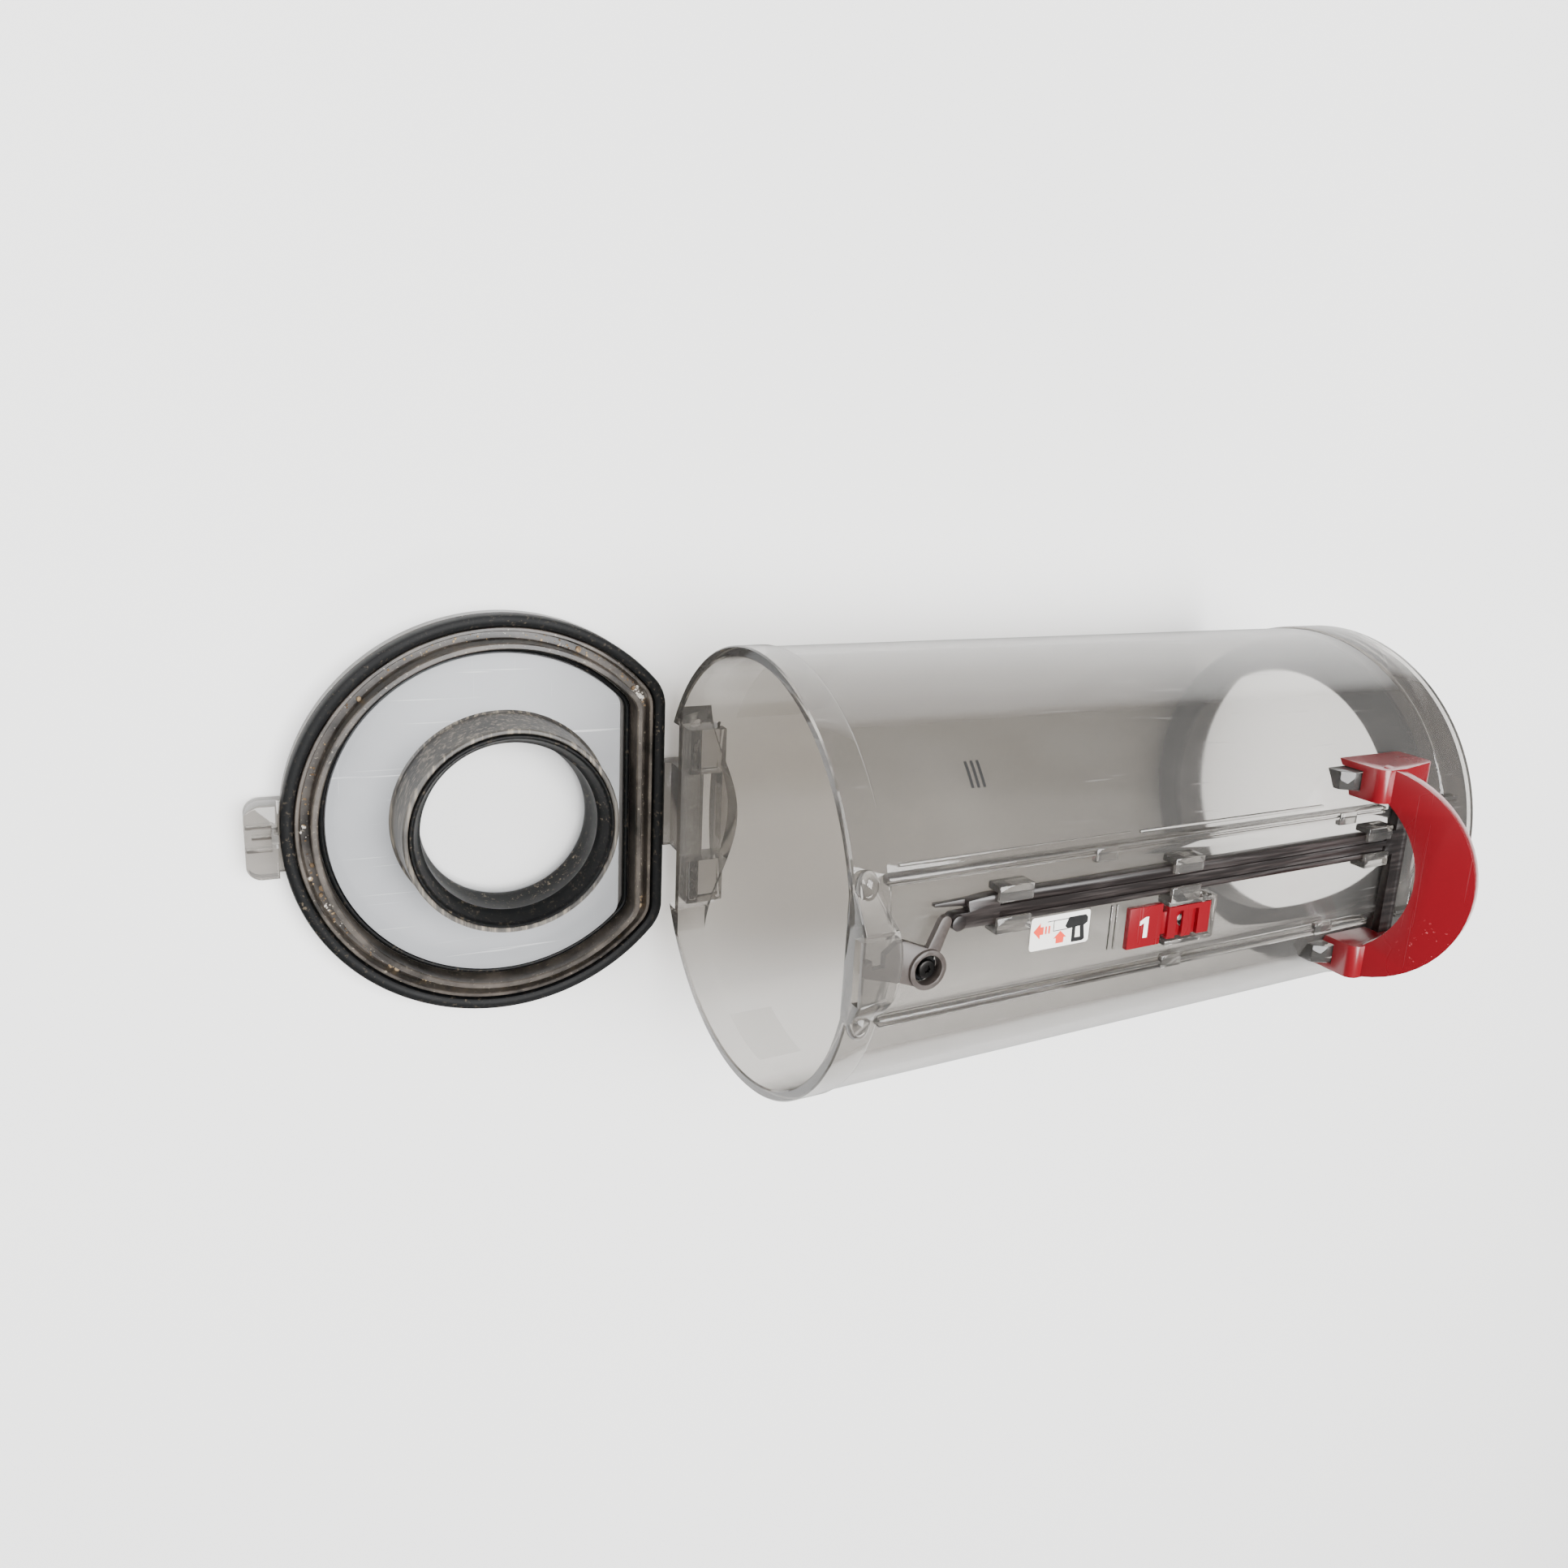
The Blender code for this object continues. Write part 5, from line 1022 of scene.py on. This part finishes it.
def screw_with_drive(x, y, seat, up):
    """A pan-head screw with a six-lobe drive, its head on the seat."""
    shank = drum((x, y, seat - 5.0 * MM if up > 0 else seat), 1.2 * MM, 5.0 * MM, sides=32)
    start = seat if up > 0 else seat - 1.3 * MM
    head = drum((x, y, start), 2.3 * MM, 1.3 * MM, sides=40, rounding=0.45 * MM)
    face = seat + 1.3 * MM if up > 0 else seat - 1.3 * MM
    add_to(shank, head)
    lobes = []
    for i in range(6):
        turn = math.radians(60 * i)
        lobes.append(drum((x + 0.62 * MM * math.cos(turn), y + 0.62 * MM * math.sin(turn), face - 0.7 * MM),
                          0.28 * MM, 1.4 * MM, sides=16))
    return cut_from(shank, drum((x, y, face - 0.7 * MM), 0.62 * MM, 1.4 * MM, sides=24), *lobes)


class DUSTBIN_OT_release(bpy.types.Operator):
    """Round the push rod and the arched lever, and give the lever's screws their finish"""
    bl_idname = "dustbin.release"
    bl_label = "Release lever"

    def execute(self, context):
        colours = context.scene.dust_bin_colours
        finish_piece(refined_copy("release_rod", 0.3 * MM), "push_rod", Matrix.Identity(4), "release", rod_nylon(),
                     ["release_rod"])
        finish_piece(refined_copy("release_lever", 0.7 * MM, 3), "arched_lever", Matrix.Identity(4), "release",
                     glossy_red(), ["release_lever"])
        metal = drawn_metal("blackened_lever_screws", colours.screw_black, 0.25, 0.45)
        for node in ("lever_screw_left", "lever_screw_right"):
            apply_to_cad(node, metal)
        return {"FINISHED"}


class DUSTBIN_OT_button(bpy.types.Operator):
    """Round the rocker button, print its numeral and wind its spring"""
    bl_idname = "dustbin.button"
    bl_label = "Button"

    def execute(self, context):
        colours = context.scene.dust_bin_colours
        finish_piece(refined_copy("bin_button", 0.35 * MM, 3), "rocker_button", Matrix.Identity(4), "button",
                     glossy_red("button_red_abs", False), ["bin_button"])
        steel = drawn_metal("pin_steel", colours.steel, 0.18, 0.35)
        for node in ("button_pin", "hinge_pin"):
            apply_to_cad(node, steel)
        numeral = numeral_one((BUTTON_X + 4.9 * MM, BUTTON_Y - 0.1 * MM, button_top()))
        finish_piece(numeral, "button_numeral", BIN, "button", printed_film("white_ink", colours.film_white))
        spring = coil((97.9 * MM, BUTTON_Y, DECK + 0.55 * MM), 1.4 * MM, 0.22 * MM, 3.0,
                      (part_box("button_spring")[1].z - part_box("button_spring")[0].z - 0.5 * MM) / 3.0)
        finish_piece(spring, "button_coil", BIN, "bin", steel, ["button_spring"], 80.0)
        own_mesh(spring)
        return {"FINISHED"}


def button_top():
    """Level of the button's pad, from the CAD node."""
    top = (BIN.inverted() @ Vector(JOINTS["button_press"]["pos_m"])).z
    return top + 0.9 * MM


def numeral_one(spot):
    """A plain upright figure 1 as a thin printed slab, read with the mouth to the left."""
    x, y, z = spot
    outline = [(0.1, -2.8), (1.5, -2.8), (1.5, 2.8), (0.5, 2.8), (-1.3, 1.9), (-1.3, 0.7), (0.1, 1.3)]
    return slab([(x + a * MM, y + b * MM) for a, b in outline], z + 0.01 * MM, z + 0.06 * MM)


class DUSTBIN_OT_prints(bpy.types.Operator):
    """Lay down the instruction label, its simple pictogram and the bars of the fill mark"""
    bl_idname = "dustbin.prints"
    bl_label = "Label and prints"

    def execute(self, context):
        colours = context.scene.dust_bin_colours
        low = DECK + 0.3 * MM
        x, y = 50.0 * MM, -7.3 * MM
        corner = 0.9 * MM
        ring = []
        for cx, cy, start in ((18.3 * MM - corner, 8.6 * MM - corner, 0), (corner, 8.6 * MM - corner, 90),
                              (corner, corner, 180), (18.3 * MM - corner, corner, 270)):
            ring += arc((x + cx, y + cy), corner, start, start + 90, 6)
        film = slab(ring, low, low + 0.2 * MM)
        finish_piece(film, "label_film", BIN, "bin", printed_film("white_polyester_film", colours.film_white),
                     ["instruction_label"])
        top = low + 0.21 * MM
        ink = 0.03 * MM

        def at(points):
            return [(x + a * MM, y + b * MM) for a, b in points]

        arrows = [slab(at([(0.8, 5.0), (2.9, 7.1), (2.9, 6.0), (3.9, 6.0), (3.9, 4.0), (2.9, 4.0), (2.9, 2.9)]), top, top + ink),
                  slab(at([(4.4, 4.0), (4.9, 4.0), (4.9, 6.0), (4.4, 6.0)]), top, top + ink),
                  slab(at([(5.4, 4.0), (5.9, 4.0), (5.9, 6.0), (5.4, 6.0)]), top, top + ink),
                  slab(at([(8.0, 1.0), (10.4, 1.0), (10.4, 2.4), (11.2, 2.4), (9.2, 4.2), (7.2, 2.4), (8.0, 2.4)]), top, top + ink)]
        finish_piece(merge_meshes(arrows), "label_arrows", BIN, "bin",
                     printed_film("red_ink", hex_colour("#E4402C")))
        lines = [slab(at([(10.6, 5.2), (11.6, 7.4), (16.9, 7.4), (17.6, 6.6), (17.6, 5.3), (16.6, 4.7), (11.4, 4.4)]), top, top + ink),
                 slab(at([(12.8, 4.6), (13.9, 4.6), (13.9, 1.7), (15.6, 1.7), (15.2, 4.8), (16.4, 4.8), (17.0, 1.0),
                          (16.4, 0.6), (12.9, 0.6)]), top, top + ink),
                 slab(at([(5.0, 7.2), (11.4, 7.2), (11.4, 7.0), (5.0, 7.0)]), top, top + ink),
                 slab(at([(6.9, 4.5), (7.1, 4.5), (7.1, 7.0), (6.9, 7.0)]), top, top + ink),
                 slab(at([(6.9, 4.3), (11.2, 4.3), (11.2, 4.5), (6.9, 4.5)]), top, top + ink)]
        finish_piece(merge_meshes(lines), "label_outline", BIN, "bin",
                     printed_film("black_ink", hex_colour("#141414")))
        bars = []
        for i in range(3):
            bm = bmesh.new()
            start = (35.3 + 1.7 * i) * MM
            level = RADIUS + 0.02 * MM
            pair = [bm.verts.new((start, level * math.sin(math.radians(34.5)), level * math.cos(math.radians(34.5)))),
                    bm.verts.new((start + 0.8 * MM, level * math.sin(math.radians(34.5)),
                                  level * math.cos(math.radians(34.5))))]
            edge = bm.edges.new(pair)
            bmesh.ops.spin(bm, geom=pair + [edge], cent=(0, 0, 0), axis=(-1, 0, 0), angle=math.radians(6.8), steps=10)
            bmesh.ops.solidify(bm, geom=bm.faces[:], thickness=0.03 * MM)
            bars.append(part_from(bm))
        finish_piece(merge_meshes(bars), "fill_bars", BIN, "bin", printed_film("grey_ink", hex_colour("#2B2B2B")))
        finish_piece(lower_wall_marks(), "wall_rectangles", BIN, "bin", film_residue())
        return {"FINISHED"}


class DUSTBIN_OT_stage(bpy.types.Operator):
    """Add the plain floor, the soft studio lamps and the camera"""
    bl_idname = "dustbin.stage"
    bl_label = "Studio"

    def execute(self, context):
        colours, sizes = context.scene.dust_bin_colours, context.scene.dust_bin_sizes
        bm = bmesh.new()
        bmesh.ops.create_circle(bm, cap_ends=True, segments=96, radius=4.0)
        for vert in bm.verts:
            vert.co.z = -0.3 * MM
        ground = part_from(bm, "studio_floor")
        finish, tree, shader, place = new_finish("studio_paper", Roughness=0.85, IOR=1.3)
        tooth = add_node(tree, "ShaderNodeTexNoise", inputs={"Vector": place, "Scale": 6.0, "Detail": 2.0})
        tone = add_node(tree, "ShaderNodeMix", {"data_type": "RGBA"},
                        {0: tooth.outputs[0], 6: colours.floor, 7: hex_colour("#F4F4F3")})
        tree.links.new(tone.outputs[2], shader.inputs["Base Color"])
        ground.data.materials.append(finish)
        for name, spot, size, power, tint in (
                ("overhead_softbox", (0.15, 0.25, 1.5), (1.3, 1.0), 76.0, (1.0, 1.0, 1.0)),
                ("left_strip", (-1.2, 0.5, 0.9), (0.5, 1.2), 17.0, (1.0, 0.99, 0.98)),
                ("front_strip", (0.3, -1.3, 0.8), (1.4, 0.25), 13.0, (1.0, 0.98, 0.95))):
            lamp = bpy.data.lights.new(name, "AREA")
            lamp.shape = "RECTANGLE"
            lamp.size, lamp.size_y = size
            lamp.energy = power
            lamp.color = tint
            holder = bpy.data.objects.new(name, lamp)
            context.scene.collection.objects.link(holder)
            holder.visible_transmission = False
            holder.location = spot
            holder.rotation_euler = (Vector((0, 0, 0.05)) - Vector(spot)).to_track_quat("-Z", "Y").to_euler()
        world = bpy.data.worlds.new("studio")
        context.scene.world = world
        world.use_nodes = True
        world.node_tree.nodes["Background"].inputs["Color"].default_value = (0.80, 0.80, 0.82, 1.0)
        world.node_tree.nodes["Background"].inputs["Strength"].default_value = 0.26
        eye = BIN @ Vector((-126.6 * MM, 110.5 * MM, 268.6 * MM))
        look = BIN.to_3x3() @ Vector((0.484, -0.247, -0.840))
        up = BIN.to_3x3() @ Vector((0.072, 0.967, -0.243))
        back = -look.normalized()
        right = up.cross(back).normalized()
        rise = back.cross(right)
        camera = bpy.data.cameras.new("camera")
        camera.lens = sizes.lens
        camera.sensor_width = 36.0
        camera.shift_x, camera.shift_y = -0.0390, -0.0240
        camera.clip_start = 0.01
        holder = bpy.data.objects.new("camera", camera)
        context.scene.collection.objects.link(holder)
        holder.matrix_world = Matrix((
            (right.x, rise.x, back.x, eye.x), (right.y, rise.y, back.y, eye.y),
            (right.z, rise.z, back.z, eye.z), (0, 0, 0, 1)))
        context.scene.camera = holder
        return {"FINISHED"}


class DUSTBIN_PT_panel(bpy.types.Panel):
    bl_idname = "DUSTBIN_PT_panel"
    bl_label = "Dust Bin"
    bl_space_type = "VIEW_3D"
    bl_region_type = "UI"
    bl_category = "Dust Bin"

    def draw(self, context):
        for settings in (context.scene.dust_bin_sizes, context.scene.dust_bin_colours):
            for name in type(settings).__annotations__:
                self.layout.prop(settings, name)
        for operator in OPERATORS:
            self.layout.operator(operator.bl_idname)


OPERATORS = (DUSTBIN_OT_stage, DUSTBIN_OT_shell, DUSTBIN_OT_far_end, DUSTBIN_OT_flap, DUSTBIN_OT_catch,
             DUSTBIN_OT_release, DUSTBIN_OT_button, DUSTBIN_OT_prints)
CLASSES = (DustBinColours, DustBinSizes, *OPERATORS, DUSTBIN_PT_panel)


def register():
    for cls in CLASSES:
        bpy.utils.register_class(cls)
    bpy.types.Scene.dust_bin_colours = PointerProperty(type=DustBinColours)
    bpy.types.Scene.dust_bin_sizes = PointerProperty(type=DustBinSizes)


def unregister():
    del bpy.types.Scene.dust_bin_sizes
    del bpy.types.Scene.dust_bin_colours
    for cls in reversed(CLASSES):
        bpy.utils.unregister_class(cls)


def main():
    register()
    for name in ("stage", "shell", "far_end", "flap", "catch", "release", "button", "prints"):
        getattr(bpy.ops.dustbin, name)()


if __name__ == "__main__":
    main()
